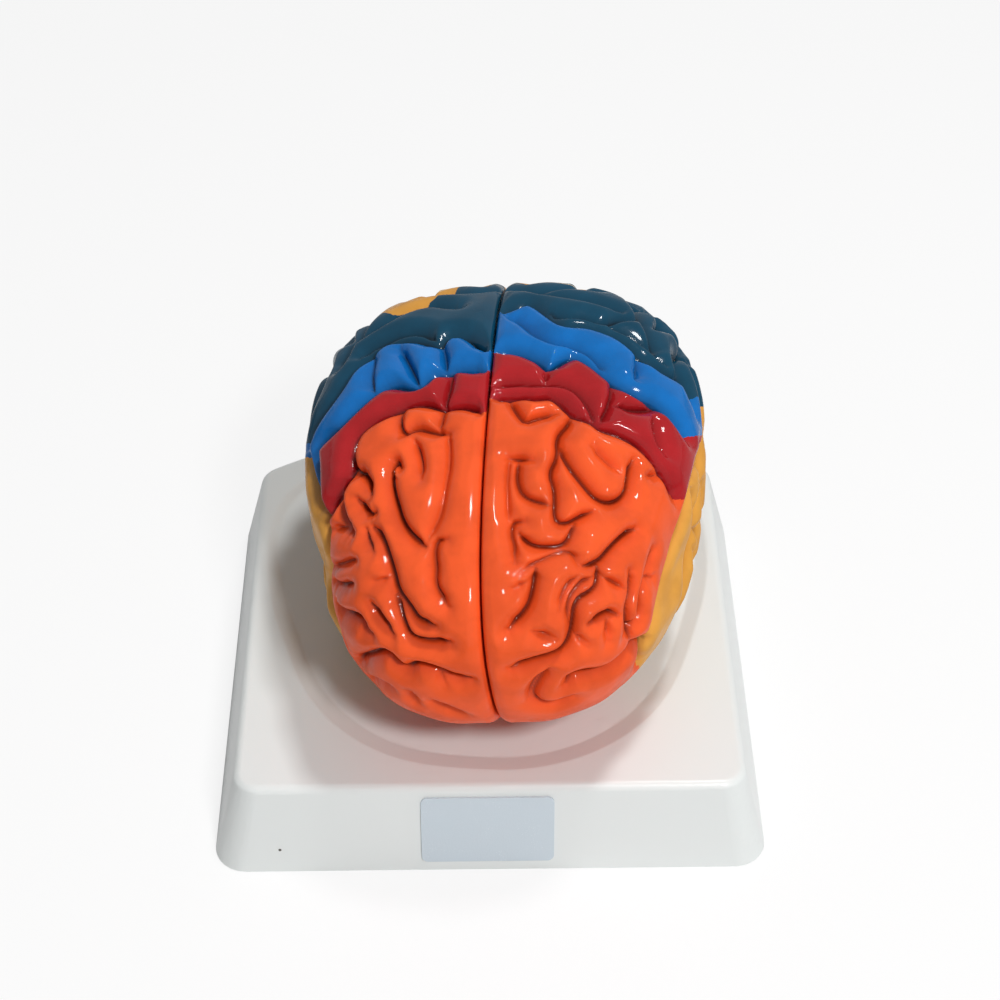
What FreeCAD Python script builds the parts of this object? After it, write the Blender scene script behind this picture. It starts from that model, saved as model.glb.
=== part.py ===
import FreeCAD
import Part
import math
import os

# Anatomical model of the human brain on a white moulded base.
# Millimetres, +Z up, front of the base towards -Y.
# The origin is the middle of the footprint, on the table.

V = FreeCAD.Vector

# Base
base_width = 202.3
base_depth = 214.4
base_height = 35.6
base_draft = 9.1
base_wall = 3.0
base_back_rise = 27.3
base_corner_radius = 12.0
base_edge_radius = 3.5
recess_side_margin = 4.55
recess_front_margin = 8.1
recess_back_margin = 7.1
recess_widest_y = 24.0
recess_depth = 2.8
recess_side_slope = 4.5
recess_front_slope = 8.0
recess_back_slope = 6.0
recess_edge_radius = 3.5

# Front half of the egg outline: share of the half width at a distance behind the front end
recess_front_arc = [(0.40, 6.5), (0.60, 18), (0.74, 32.5), (0.885, 63), (0.975, 92)]
recess_shoulder_share = 0.93
recess_shoulder_back = 34.0
recess_rear_share = 0.55
recess_rear_inset = 8.0

# Name plate on the front slope
plate_width = 48.0
plate_height = 28.3
plate_x = -1.0
plate_thickness = 0.8
plate_corner_radius = 2.5

# Brain as it sits in the recess: it leans to its left and looks a little to one side
brain_x = 6.3
brain_y = -9.0
brain_lift = 69.4
brain_yaw = -4.7
brain_roll = -6.5
brain_pitch = 5.0

# Cerebrum, measured from the middle of the medial plane
cerebrum_half_width = 74.5
cerebrum_front = 96.0
cerebrum_back = 87.0
cerebrum_top = 49.0
cerebrum_bottom = 65.0
cross_square = 2.95
long_square = 2.42
widest_y = 42.0
front_taper = 0.21
back_taper = 0.08
top_taper = 0.07
temple_hollow = 0.08
forehead_hollow = 0.04
orbital_lift = 6.0
tentorial_lift = 32.0
fissure_gap = 0.9
fissure_rounding = 3.2
fissure_shoulder = 7.0

# Folds
sulcus_depth = 3.8
sulcus_half_width = 5.4
grid_along = 56
grid_across = 44

# Division into lobes
lobe_gap = 0.45
core_half_width = 38.0
core_floor = -26.0
core_back = 42.0
stem_bay_half_width = 18.0
temporal_front = -41.0
tent_front = 20.5

# Brain stem and cerebellum
stem_fit = 0.3
cerebellum_gap = 1.0
cerebellum_half_width = 50.0
cerebellum_half_depth = 26.0
cerebellum_half_height = 19.0
cerebellum_y = 48.5
cerebellum_z = -48.5
cerebellum_grid_across = 24
cerebellum_grid_up = 20
folia_count = 7
folia_depth = 1.1

# Locating pins
pin_radius = 2.0
pin_seat = 7.0
pin_reach = 9.0
pin_play = 0.3
cerebellum_pin_face = 20.0
floor_clearance = 1.0

base_half_width = base_width / 2
base_half_depth = base_depth / 2
recess_half_width = round(base_half_width - base_draft - recess_side_margin, 6)
recess_front = round(base_half_depth - base_draft - recess_front_margin, 6)
recess_back = round(base_half_depth - base_draft - recess_back_margin, 6)
floor_z = base_height - recess_depth
brain_z = floor_z + brain_lift


def smooth(start, end, value):
    t = (value - start) / (end - start)
    t = min(1.0, max(0.0, t))
    return t * t * (3 - 2 * t)


def bump(value, centre, spread):
    return math.exp(-((value - centre) / spread) ** 2)


# Outer form of the cerebrum: below 1 inside, 1 on the surface.
# X is lateral, Y runs from the forehead to the back, Z is up.
def cerebrum_level(x, y, z):
    reach = cerebrum_front if y < 0 else cerebrum_back
    if z > 0:
        rise = cerebrum_top
    else:
        orbital = orbital_lift * smooth(-38, -58, y)
        tentorial = tentorial_lift * smooth(25, 62, y)
        rise = cerebrum_bottom - orbital - tentorial
    ahead = min(1.0, max(0.0, (widest_y - y) / (cerebrum_front + widest_y)))
    behind = min(1.0, max(0.0, (y - widest_y) / (cerebrum_back - widest_y)))
    width = cerebrum_half_width
    width *= 1 - front_taper * ahead ** 1.7
    width *= 1 - back_taper * behind ** 1.7
    width *= 1 - top_taper * smooth(10, 55, z)
    width *= 1 - temple_hollow * bump(y, -46, 21) * smooth(-18, -6, z)
    width *= 1 - forehead_hollow * smooth(-40, -60, y) * smooth(0, -30, z)
    profile = abs(y / reach) ** long_square + abs(z / rise) ** long_square
    return (abs(x) / width) ** cross_square + profile ** (cross_square / long_square)


def cerebellum_level(x, y, z):
    waist = 1 - 0.22 * bump(x, 0, 9)
    return (
        (abs(x) / cerebellum_half_width) ** 2.6
        + (abs(y) / (cerebellum_half_depth * waist)) ** 2.3
        + (abs(z) / (cerebellum_half_height * waist)) ** 2.3
    )


# Distance from the middle to the surface in one direction
def surface_point(level, direction):
    low = 1.0
    high = 150.0
    for step in range(22):
        middle = (low + high) / 2
        if level(direction.x * middle, direction.y * middle, direction.z * middle) < 1:
            low = middle
        else:
            high = middle
    return direction * low


# Sketch planes for the folds. Each gives a point and a sight line through it.
ROOT = math.sqrt(0.5)


def on_front_sketch(across, up):
    return V(across, (up - 150) * ROOT, (up + 150) * ROOT), V(0, ROOT, -ROOT)


def on_side_sketch(back, up):
    return V(120, back, up), V(-1, 0, 0)


def on_back_sketch(across, up):
    return V(across, 140, up), V(0, -1, 0)


def on_under_sketch(across, back):
    return V(across, back, -110), V(0, 0, 1)


# First meeting of a sight line with the cerebrum
def project(start, sight):
    for step in range(1, 230):
        point = start + sight * step
        if cerebrum_level(point.x, point.y, point.z) < 1:
            low = step - 1.0
            high = float(step)
            for halving in range(9):
                middle = (low + high) / 2
                point = start + sight * middle
                if cerebrum_level(point.x, point.y, point.z) < 1:
                    high = middle
                else:
                    low = middle
            return start + sight * high
    return None


# Folds seen from the front and above, as (distance from the midline, height) in mm.
# The third value is the depth as a share of sulcus_depth.
front_folds_left = {
    "central": (1.0, [(2, 42.5), (8, 43.5), (13, 44), (17, 42.5), (22, 42), (26, 37.5), (31, 37.5),
                      (36, 38.5), (41, 37.5), (50, 30), (57, 22), (62, 18), (64, 14), (61.5, 5), (59, -6)]),
    "precentral": (0.9, [(2, 27), (5, 29), (10, 30), (16, 29), (24, 31.5), (31, 30.5), (36, 28),
                         (45, 24), (50, 18), (50, 6), (54, 0), (59, -9)]),
    "postcentral": (0.9, [(2, 50), (9, 56), (13, 56.5), (18, 56), (21, 52.5), (28, 55), (40, 55.5),
                          (47, 50), (53, 45), (58, 36), (67, 25), (70, 17)]),
    "precentral lobule": (0.6, [(14.5, 43), (15, 37), (16.5, 29), (17, 21)]),
    "upper frontal lobule": (0.8, [(31, 30.5), (33.5, 26), (31, 19.5), (26, 22.5), (21, 21), (13.5, 19.5)]),
    "medial strip": (0.45, [(13.5, 19.5), (12, 10), (13, 1), (14, -9), (18, -17)]),
    "superior frontal": (1.0, [(30, 8), (33, 11), (34, 4), (31.5, -4), (28, -12), (23, -17.5), (19, -19.5)]),
    "superior frontal hook": (0.6, [(22, 4), (22.5, 10), (25.5, 17.5)]),
    "medial pit": (0.7, [(11, -17), (15, -17.5), (16, -22), (15, -27), (15.5, -33), (11, -39.5)]),
    "middle frontal upper": (1.0, [(51, 12), (48, 6), (46, 7), (42.5, 3), (41, -1)]),
    "middle frontal hook": (0.9, [(46, -3), (43.5, -6), (41, -8.5), (38.5, -7.5)]),
    "lateral lobule": (1.0, [(50, 5), (53.5, 1), (53.5, -4), (52.5, -8), (50.5, -12), (47, -14.5)]),
    "lateral branch": (0.5, [(50, -13), (57, -13)]),
    "middle frontal": (1.0, [(39, -12.5), (36, -16), (33, -22.5), (31, -29), (29.5, -35), (25, -40),
                             (22, -45), (16, -46.5)]),
    "middle frontal spur": (0.7, [(41.5, -13), (41.5, -17), (38, -21)]),
    "middle frontal twig": (0.5, [(37, -30.5), (31, -30)]),
    "inferior frontal upper": (0.6, [(57, -27), (50, -25), (45, -23.5)]),
    "inferior frontal middle": (0.8, [(56.5, -32), (53.5, -34), (46.5, -32)]),
    "inferior frontal": (1.0, [(54.5, -39.5), (53, -43), (43, -44), (42.5, -47), (39.5, -49)]),
    "frontomarginal upper": (1.0, [(39, -38.5), (36, -43.5), (31.5, -49)]),
    "frontomarginal": (1.0, [(30, -36), (28, -44), (25.5, -50.5), (19, -52.5), (11, -52)]),
    "lateral orbital": (0.5, [(54, -48), (52.5, -55)]),
    "frontal pole": (1.0, [(50, -61.5), (43, -58.5), (35, -55.3), (31, -60), (27, -62.5), (24, -60),
                           (17, -62), (11, -65), (5.5, -65.5)]),
    "frontal pole twig": (0.5, [(17, -62.5), (14.5, -67)]),
    "orbital rim": (0.7, [(47, -68), (41, -67), (35.5, -68.5)]),
    "orbital twig": (0.5, [(28.5, -70), (27, -74.5)]),
    "medial orbital": (0.6, [(20, -74), (11, -79)]),
    "postcentral notch": (0.6, [(20, 54), (18, 49), (17, 43)]),
    "postcentral valley": (0.7, [(36, 52), (31, 45), (27, 38)]),
    "postcentral lateral": (0.6, [(46, 49), (46.5, 41), (44.5, 35.5)]),
    "parietal upper": (0.9, [(15, 66.5), (25, 68), (36, 65.5), (46, 60), (55, 54)]),
    "parietal lower": (0.8, [(22, 55), (27, 58), (37, 58), (46, 54), (52, 49)]),
}

front_folds_right = {
    "central": (1.0, [(1, 49.5), (9, 49.5), (18, 46), (21.5, 42), (27, 45.5), (31, 46.5), (38, 42.5),
                      (43, 37.5), (48, 34), (55, 29.5), (62, 25.5), (66, 20), (69, 14)]),
    "precentral": (0.8, [(1, 32), (14, 32.5), (17, 31.5), (24, 32), (31.5, 24), (38, 22), (41, 19),
                         (48, 16.5), (56, 11), (62, 2), (65, -8)]),
    "postcentral": (0.9, [(2, 64), (9, 67), (15, 66), (22, 60.5), (26, 57.5), (34, 57.5), (43, 54),
                          (50, 49), (54, 44.5), (60, 40), (68, 35), (70, 28)]),
    "precentral groove": (0.7, [(1, 37), (10, 37.5), (17, 36.5), (24, 36.5), (30, 35), (35, 31), (40, 21)]),
    "precentral notch": (0.6, [(20.5, 42), (21, 37)]),
    "precentral step": (0.7, [(45, 36), (45, 28), (41, 21)]),
    "precentral lateral": (0.8, [(46, 27.5), (54, 25), (61, 25.5)]),
    "precentral lower": (0.7, [(59, 22), (60, 15), (62.5, 9)]),
    "postcentral ridge": (0.6, [(4, 62.5), (10, 60), (19, 52.5), (31, 49.5), (38, 46), (43, 40)]),
    "postcentral lateral": (0.6, [(53, 45), (53.5, 40), (52.5, 36)]),
    "superior frontal upper": (0.8, [(7.5, 32), (12, 25), (14.5, 23), (18, 24.5), (25, 25.5)]),
    "superior frontal": (0.9, [(31, 24.5), (30.5, 21.5), (26, 17), (27, 10), (23.5, 4), (26, -2),
                               (25.5, -13), (30, -14), (34, -12), (38, -10)]),
    "middle lobule": (1.0, [(27.5, 13), (30, 7), (36, -1), (40, -6), (45, -8), (50, -5.5), (51, 2), (52, 7)]),
    "middle lobule crease": (0.5, [(38, 13), (41.5, 9), (47, 3.5)]),
    "medial pit": (0.8, [(8.5, 10), (12, 9.5), (17, 9)]),
    "medial hook": (0.8, [(12.5, 9), (12, 1), (15, -4.5), (24, -7)]),
    "medial strip": (0.45, [(9, 10), (8.5, 0), (9.5, -12)]),
    "medial lower pit": (0.7, [(15, -12), (11, -12.5), (10.5, -17), (12, -21), (11.5, -26)]),
    "medial lower hook": (0.9, [(13, -16), (17, -21), (26, -21.8), (30, -20.5), (33, -13.5)]),
    "medial dimple": (0.5, [(10.5, -26), (14, -26)]),
    "medial descending": (1.0, [(19, -28), (18, -36), (15.5, -43), (9, -48)]),
    "medial twig": (0.5, [(11, -34), (16, -32)]),
    "inferior frontal upper": (1.0, [(35, -28), (40, -28.3), (45, -22.5), (52, -17)]),
    "middle frontal": (1.0, [(40, -28.3), (40, -34), (38.5, -37), (32, -40), (30.5, -50), (28.5, -55),
                             (25, -58), (16, -60), (8.5, -62)]),
    "middle frontal valley": (0.6, [(33, -31), (28, -36), (26.5, -42.5)]),
    "middle frontal spur": (0.6, [(41, -32), (44, -34), (48, -37)]),
    "pole spur": (0.6, [(30.5, -51), (34, -54)]),
    "pole dimple": (0.5, [(17, -49), (24, -51.5)]),
    "frontomarginal": (1.0, [(36, -47.5), (42.5, -44.5), (45, -45.5)]),
    "frontomarginal fold": (0.5, [(42, -45), (41, -54)]),
    "inferior frontal": (1.0, [(57, -25), (54.5, -34), (52.5, -42), (52, -48), (47, -53)]),
    "lateral orbital": (1.0, [(53, -57.5), (49, -57), (44, -62), (38, -66), (29, -65.3), (26, -69)]),
    "lateral branch": (0.6, [(54.5, -34.5), (60, -34.5)]),
    "frontal edge": (0.5, [(56, 1.5), (62, 1)]),
    "medial orbital": (0.6, [(21.5, -63), (16, -70), (13.5, -75), (20, -77), (27, -74)]),
    "parietal upper": (0.8, [(12, 71), (20, 69.5), (31, 67), (38, 65), (46, 62)]),
    "parietal lower": (0.9, [(20, 64), (26, 61.5), (33, 61), (41, 58), (46, 60), (54, 58)]),
    "parietal lateral": (0.7, [(41, 58), (50, 53), (57, 47), (63, 41)]),
}

# Folds of the side, as (distance back, height)
side_folds = {
    "superior temporal": (1.0, [(-44, -36), (-30, -28), (-8, -20), (14, -12), (32, -2), (44, 10), (50, 20)]),
    "superior temporal twig": (0.6, [(-12, -21), (-16, -13)]),
    "middle temporal": (0.9, [(-40, -46), (-22, -39), (-6, -36), (8, -28)]),
    "middle temporal back": (0.9, [(14, -32), (28, -23), (40, -17), (52, -10)]),
    "middle temporal twig": (0.6, [(24, -25), (22, -15)]),
    "inferior temporal": (0.9, [(-34, -54), (-14, -50), (4, -44), (22, -40), (36, -33)]),
    "supramarginal": (0.9, [(14, 17), (22, 24), (32, 28), (40, 24), (42, 17)]),
    "lower central": (0.8, [(4, 10), (-2, 1), (-7, -4)]),
    "lower precentral": (0.8, [(-14, 6), (-18, -4), (-22, -9)]),
    "angular": (0.9, [(48, 30), (56, 22), (62, 26), (66, 20)]),
    "intraparietal": (1.0, [(30, 34), (42, 34), (54, 32), (64, 28)]),
    "lateral occipital": (0.9, [(50, 4), (62, 3), (74, -2)]),
    "occipital branch": (0.7, [(60, 14), (68, 10), (70, 2)]),
    "preoccipital": (0.7, [(46, -22), (56, -16), (66, -14)]),
}

# Folds of the back, as (distance from the midline, height)
back_folds = {
    "parieto occipital": (1.0, [(2, 37), (14, 37.5), (24, 34.5), (34, 33)]),
    "transverse occipital": (0.9, [(6, 26), (16, 22), (28, 25), (40, 22), (50, 24)]),
    "occipital arch": (0.9, [(10, 12), (22, 14), (34, 8), (46, 11), (56, 6)]),
    "occipital pole": (0.9, [(2, 1), (12, 0), (20, -5), (32, -3), (44, -6)]),
    "occipital lower": (0.8, [(8, -12), (20, -16), (34, -15), (48, -18)]),
    "occipital link": (0.6, [(22, 14), (20, 5), (24, -4)]),
    "occipital outer link": (0.6, [(46, 11), (44, 2)]),
    "parietal link": (0.6, [(28, 25), (30, 33)]),
}

# Folds of the underside, as (distance from the midline, distance back)
under_folds = {
    "olfactory": (0.8, [(8, -84), (9, -64), (10, -48)]),
    "orbital": (0.9, [(22, -82), (24, -68), (20, -56)]),
    "orbital cross": (0.8, [(24, -68), (34, -66), (42, -58)]),
    "collateral": (0.9, [(30, -28), (32, -8), (34, 12), (32, 20)]),
    "occipitotemporal": (0.8, [(46, -24), (48, -4), (50, 16)]),
}


# Line between the upper and the lower piece on the side: the lateral fissure,
# then up behind the parietal lobe. Points are (distance back, height).
parting_rise = [(50, 22), (62, 26), (70, 31), (76, 37)]
lateral_fissure = [(-47, -44), (-46, -25), (-30, -14.5), (-10, -5.5), (10, 2.5), (28, 11.5), (37, 19)]
parting_groove = {
    "lateral fissure": (1.3, lateral_fissure),
    "parting": (0.8, lateral_fissure[-1:] + parting_rise),
}


# Lift one family of folds on to the surface as short pieces with a depth share
def lift_folds(family, sketch):
    pieces = []
    for share, line in family.values():
        previous = None
        for start, end in zip(line[:-1], line[1:]):
            steps = max(1, int(math.dist(start, end) / 2.5))
            for k in range(steps + 1):
                u = start[0] + (end[0] - start[0]) * k / steps
                w = start[1] + (end[1] - start[1]) * k / steps
                point = project(*sketch(u, w))
                if previous is not None and point is not None:
                    if previous.distanceToPoint(point) < 9:
                        pieces.append((previous, point, share))
                previous = point
    return pieces


def folds_of(side):
    pieces = lift_folds(front_folds_left if side < 0 else front_folds_right, on_front_sketch)
    pieces += lift_folds(side_folds, on_side_sketch)
    pieces += lift_folds(back_folds, on_back_sketch)
    pieces += lift_folds(under_folds, on_under_sketch)
    return pieces


cell_size = 8.0


def cell_of(point):
    return (
        int(math.floor(point.x / cell_size)),
        int(math.floor(point.y / cell_size)),
        int(math.floor(point.z / cell_size)),
    )


# Pieces of fold sorted into cubes, so that only near ones are measured
def sort_folds(pieces):
    cubes = {}
    for piece in pieces:
        home = cell_of((piece[0] + piece[1]) * 0.5)
        for dx in (-1, 0, 1):
            for dy in (-1, 0, 1):
                for dz in (-1, 0, 1):
                    key = (home[0] + dx, home[1] + dy, home[2] + dz)
                    cubes.setdefault(key, []).append(piece)
    return cubes


def nearest_on_piece(point, piece):
    run = piece[1] - piece[0]
    length = run.dot(run)
    if length < 1e-9:
        return piece[0]
    t = min(1.0, max(0.0, (point - piece[0]).dot(run) / length))
    return piece[0] + run * t


def nearest_fold(point, cubes):
    best = None
    distance = 1e9
    for piece in cubes.get(cell_of(point), ()):
        candidate = nearest_on_piece(point, piece)
        gap = point.distanceToPoint(candidate)
        if gap < distance:
            distance = gap
            best = candidate
    return distance, best


# Depth of the surface below the smooth form: round gyri between narrow folds
def fold_depth(point, cubes):
    deepest = 0.0
    for piece in cubes.get(cell_of(point), ()):
        share = piece[2]
        reach = sulcus_half_width * (0.7 + 0.3 * share)
        gap = point.distanceToPoint(nearest_on_piece(point, piece))
        if gap < reach:
            t = 1 - gap / reach
            depth = sulcus_depth * share * t ** 1.3
            deepest = max(deepest, depth)
    return deepest


def fissure_depth(x):
    t = max(0.0, 1 - abs(x) / fissure_shoulder)
    return fissure_rounding * (1 - math.sqrt(1 - t * t))


# Square grid bent into a half sphere that opens towards the midline
def half_sphere_direction(s, t, stretch):
    if s == 0 and t == 0:
        rho = 0.0
        phi = 0.0
    elif abs(s) >= abs(t):
        rho = abs(s)
        phi = math.pi / 4 * (t / s) + (math.pi if s < 0 else 0)
    else:
        rho = abs(t)
        phi = math.pi / 2 - math.pi / 4 * (s / t) + (math.pi if t < 0 else 0)
    psi = 2 * math.asin(rho / math.sqrt(2))
    ring = math.sin(psi)
    inward = 0.0 if rho > 0.9999 else math.cos(psi)
    direction = V(inward * stretch[0], ring * math.cos(phi) * stretch[1], ring * math.sin(phi) * stretch[2])
    return direction.normalize()


# Closed half body: a faceted shell and a flat medial face
def half_body(points, across, up):
    faces = []
    for i in range(across):
        for j in range(up):
            a = points[i, j]
            b = points[i + 1, j]
            c = points[i + 1, j + 1]
            d = points[i, j + 1]
            deep_ac = a.Length + c.Length
            deep_bd = b.Length + d.Length
            if deep_ac <= deep_bd:
                corners = ((a, b, c), (a, c, d))
            else:
                corners = ((a, b, d), (b, c, d))
            for p, q, r in corners:
                faces.append(Part.Face(Part.makePolygon([p, q, r, p])))
    rim = [points[i, 0] for i in range(across)]
    rim += [points[across, j] for j in range(up)]
    rim += [points[i, up] for i in range(across, 0, -1)]
    rim += [points[0, j] for j in range(up, 0, -1)]
    faces.append(Part.Face(Part.makePolygon(rim + [rim[0]])))
    body = Part.makeSolid(Part.makeShell(faces))
    if body.Volume < 0:
        body.reverse()
    return body


def to_side(point, side, shift):
    return V(side * (abs(point.x) + shift), point.y, point.z)


# One cerebral hemisphere with its folds
def hemisphere(side):
    folds = folds_of(side)
    guides = sort_folds(folds)
    cubes = sort_folds(folds + lift_folds(parting_groove, on_side_sketch))
    stretch = (0.8, 1.0, 0.62)
    smooth_points = {}
    for i in range(grid_along + 1):
        for j in range(grid_across + 1):
            s = -1 + 2 * i / grid_along
            t = -1 + 2 * j / grid_across
            direction = half_sphere_direction(s, t, stretch)
            smooth_points[i, j] = surface_point(cerebrum_level, direction)
    points = {}
    for i in range(grid_along + 1):
        for j in range(grid_across + 1):
            point = smooth_points[i, j]
            if 0 < i < grid_along and 0 < j < grid_across:
                around = [smooth_points[i + 1, j], smooth_points[i - 1, j]]
                around += [smooth_points[i, j + 1], smooth_points[i, j - 1]]
                room = 0.42 * min(point.distanceToPoint(p) for p in around)
                distance, target = nearest_fold(point, guides)
                if 0 < distance < room and target.x > 0.5:
                    direction = V(target)
                    point = surface_point(cerebrum_level, direction.normalize())
            depth = max(fold_depth(point, cubes), fissure_depth(point.x))
            length = point.Length
            lowered = point * ((length - depth) / length)
            points[i, j] = to_side(lowered, side, fissure_gap / 2)
    return half_body(points, grid_along, grid_across)


# One half of the cerebellum, with its leaves as level steps
def cerebellum_half(side):
    stretch = (1.0, 0.55, 0.42)
    points = {}
    for i in range(cerebellum_grid_across + 1):
        for j in range(cerebellum_grid_up + 1):
            s = -1 + 2 * i / cerebellum_grid_across
            t = -1 + 2 * j / cerebellum_grid_up
            point = surface_point(cerebellum_level, half_sphere_direction(s, t, stretch))
            wave = math.cos(math.pi * folia_count * point.z / cerebellum_half_height)
            depth = folia_depth * (0.5 - 0.5 * wave)
            lowered = point * ((point.Length - depth) / point.Length)
            points[i, j] = to_side(lowered, side, fissure_gap / 2)
    body = half_body(points, cerebellum_grid_across, cerebellum_grid_up)
    body.translate(V(0, cerebellum_y, cerebellum_z))
    return body


# Prism along X over an outline of (distance back, height) points
def side_prism(outline, x_near, x_far, side):
    corners = [V(side * x_near, y, z) for y, z in outline]
    face = Part.Face(Part.makePolygon(corners + [corners[0]]))
    return face.extrude(V(side * (x_far - x_near), 0, 0))


# Line moved sideways, to the left of its direction
def shifted(line, distance):
    moved = []
    for k in range(len(line)):
        before = line[max(0, k - 1)]
        after = line[min(len(line) - 1, k + 1)]
        dy = after[0] - before[0]
        dz = after[1] - before[1]
        length = math.hypot(dy, dz)
        moved.append((line[k][0] - distance * dz / length, line[k][1] + distance * dy / length))
    return moved


far_back = cerebrum_back + 30
far_up = cerebrum_top + 30
far_down = cerebrum_bottom + 60
far_side = cerebrum_half_width + 30
parting_up = parting_rise + [(82, far_up)]
parting_side = [(temporal_front - 6, -far_down)] + lateral_fissure + parting_up


# Region of the temporal and occipital lobes, grown by a gap where the other piece is cut
def temporal_region(side, gap):
    closing = [(far_back, far_up), (far_back, -far_down)]
    outer = side_prism(shifted(parting_side, gap) + closing, core_half_width - gap, far_side, side)
    behind_core = [(core_back - gap, core_floor + gap)] + shifted(parting_up, gap) + closing
    inner_outline = [(temporal_front - gap, -far_down), (temporal_front - gap, core_floor + gap)]
    inner_outline += behind_core
    inner = side_prism(inner_outline, stem_bay_half_width - gap, core_half_width + 1, side)
    back_outline = [(core_back - gap, -far_down)] + behind_core
    back = side_prism(back_outline, -1, stem_bay_half_width + 1, side)
    return outer.fuse([inner, back]).removeSplitter()


# Space under the back of the cerebrum, open to the rear, where the cerebellum lies
def tent_space(side):
    half = cerebellum_half_width + 2 * cerebellum_gap
    top = cerebellum_z + cerebellum_half_height + cerebellum_gap
    outline = [(-2, top + 2), (half * 0.5, top + 1), (half + 3, top - 5)]
    outline += [(half + 3, -far_down), (-2, -far_down)]
    corners = [V(side * x, tent_front, z) for x, z in outline]
    face = Part.Face(Part.makePolygon(corners + [corners[0]]))
    return face.extrude(V(0, far_back, 0))


# Brain stem half as a stack of half oval sections: height, middle, half width, half depth
stem_sections = [
    (4.0, 8.0, 7.0, 12.0),
    (0.0, 7.0, 12.0, 16.0),
    (-10.0, 7.0, 13.5, 16.5),
    (-19.0, 9.0, 11.5, 12.0),
    (-25.0, 10.0, 9.5, 9.5),
    (-31.0, 7.0, 13.0, 12.5),
    (-38.0, 6.0, 14.5, 14.0),
    (-46.0, 8.0, 12.0, 12.0),
    (-50.0, 12.0, 8.5, 8.5),
    (-60.0, 16.0, 8.0, 7.5),
    (-85.0, 24.0, 6.5, 6.5),
]
stem_facets = 12


def stem_point(section, k, grow, side):
    z, middle, half_width, half_depth = section
    angle = math.pi * k / stem_facets
    x = (half_width + grow) * math.sin(angle)
    y = middle - (half_depth + grow) * math.cos(angle)
    return V(side * (x + fissure_gap / 2), y, z)


def stem_stack(sections, grow, side):
    faces = []
    rings = [[stem_point(section, k, grow, side) for k in range(stem_facets + 1)] for section in sections]
    for low, high in zip(rings[:-1], rings[1:]):
        for k in range(stem_facets):
            faces.append(Part.Face(Part.makePolygon([low[k], low[k + 1], high[k + 1], low[k]])))
            faces.append(Part.Face(Part.makePolygon([low[k], high[k + 1], high[k], low[k]])))
    for ring in (rings[0], rings[-1]):
        faces.append(Part.Face(Part.makePolygon(ring + [ring[0]])))
    edge = [ring[0] for ring in rings] + [ring[-1] for ring in reversed(rings)]
    faces.append(Part.Face(Part.makePolygon(edge + [edge[0]])))
    body = Part.makeSolid(Part.makeShell(faces))
    if body.Volume < 0:
        body.reverse()
    return body


# Thalamus bay in the medial face of the upper piece
def stem_bay(side):
    widest = max(stem_sections, key=lambda section: section[3])
    upper = [section for section in stem_sections if section[0] >= widest[0]]
    front = [(middle - depth - 2 * stem_fit, z) for z, middle, width, depth in upper]
    back = [(middle + depth + 2 * stem_fit, z) for z, middle, width, depth in upper]
    top = upper[0][0] + stem_fit
    outline = [(front[-1][0], core_floor - 5)] + front[::-1]
    outline += [(front[0][0], top), (back[0][0], top)]
    outline += back + [(back[-1][0], core_floor - 5)]
    widest_x = max(section[2] for section in upper)
    return side_prism(outline, -1, widest_x + 2 * stem_fit + fissure_gap, side)


# Locating pin and its hole, both along X or along Y
def rod(y, z, x_start, x_end, radius):
    return Part.makeCylinder(radius, abs(x_end - x_start), V(min(x_start, x_end), y, z), V(1, 0, 0))


def seat_and_socket(y, z, face_x, side):
    inward = face_x - side * pin_seat
    outward = face_x + side * pin_reach
    pin = rod(y, z, inward, outward, pin_radius)
    seat = rod(y, z, inward, face_x + side * 2, pin_radius)
    socket = rod(y, z, face_x - side * 2, outward + side * pin_play, pin_radius + pin_play)
    return pin, seat, socket


# Turn and shift from the brain's own axes to the base
turn = FreeCAD.Rotation(V(0, 0, 1), brain_yaw)
turn = turn.multiply(FreeCAD.Rotation(V(0, 1, 0), brain_roll))
turn = turn.multiply(FreeCAD.Rotation(V(1, 0, 0), brain_pitch))
seating = FreeCAD.Placement(V(brain_x, brain_y, brain_z), turn)


def seated(shape):
    return shape.transformed(seating.toMatrix(), copy=True)


# Everything below a height over the table
def below(height):
    size = 400.0
    return Part.makeBox(size, size, size, V(-size / 2, -size / 2, height - size))


# Outline of the base: straight front and sides, arched back, rounded corners
def base_outline(inset, z):
    half = base_half_width - inset
    front = -base_half_depth + inset
    back = base_half_depth - inset
    chord = base_half_width - base_draft
    arch = (chord ** 2 + base_back_rise ** 2) / (2 * base_back_rise)
    middle = base_half_depth - base_draft - arch
    radius = arch + base_draft - inset
    corner_y = middle + math.sqrt(radius ** 2 - half ** 2)
    r = max(1.0, base_corner_radius - inset * 0.3)
    sharp = Part.Wire([
        Part.makeLine(V(-half, front, z), V(half, front, z)),
        Part.makeLine(V(half, front, z), V(half, corner_y, z)),
        Part.Arc(V(half, corner_y, z), V(0, back, z), V(-half, corner_y, z)).toShape(),
        Part.makeLine(V(-half, corner_y, z), V(-half, front, z)),
    ])
    slab = Part.Face(sharp).extrude(V(0, 0, 1))
    upright = [e for e in slab.Edges if abs(e.Vertexes[0].Z - e.Vertexes[-1].Z) > 0.5]
    rounded = slab.makeFillet(r, upright)
    lower = [f for f in rounded.Faces if abs(f.CenterOfMass.z - z) < 1e-6][0]
    return lower.OuterWire


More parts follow.
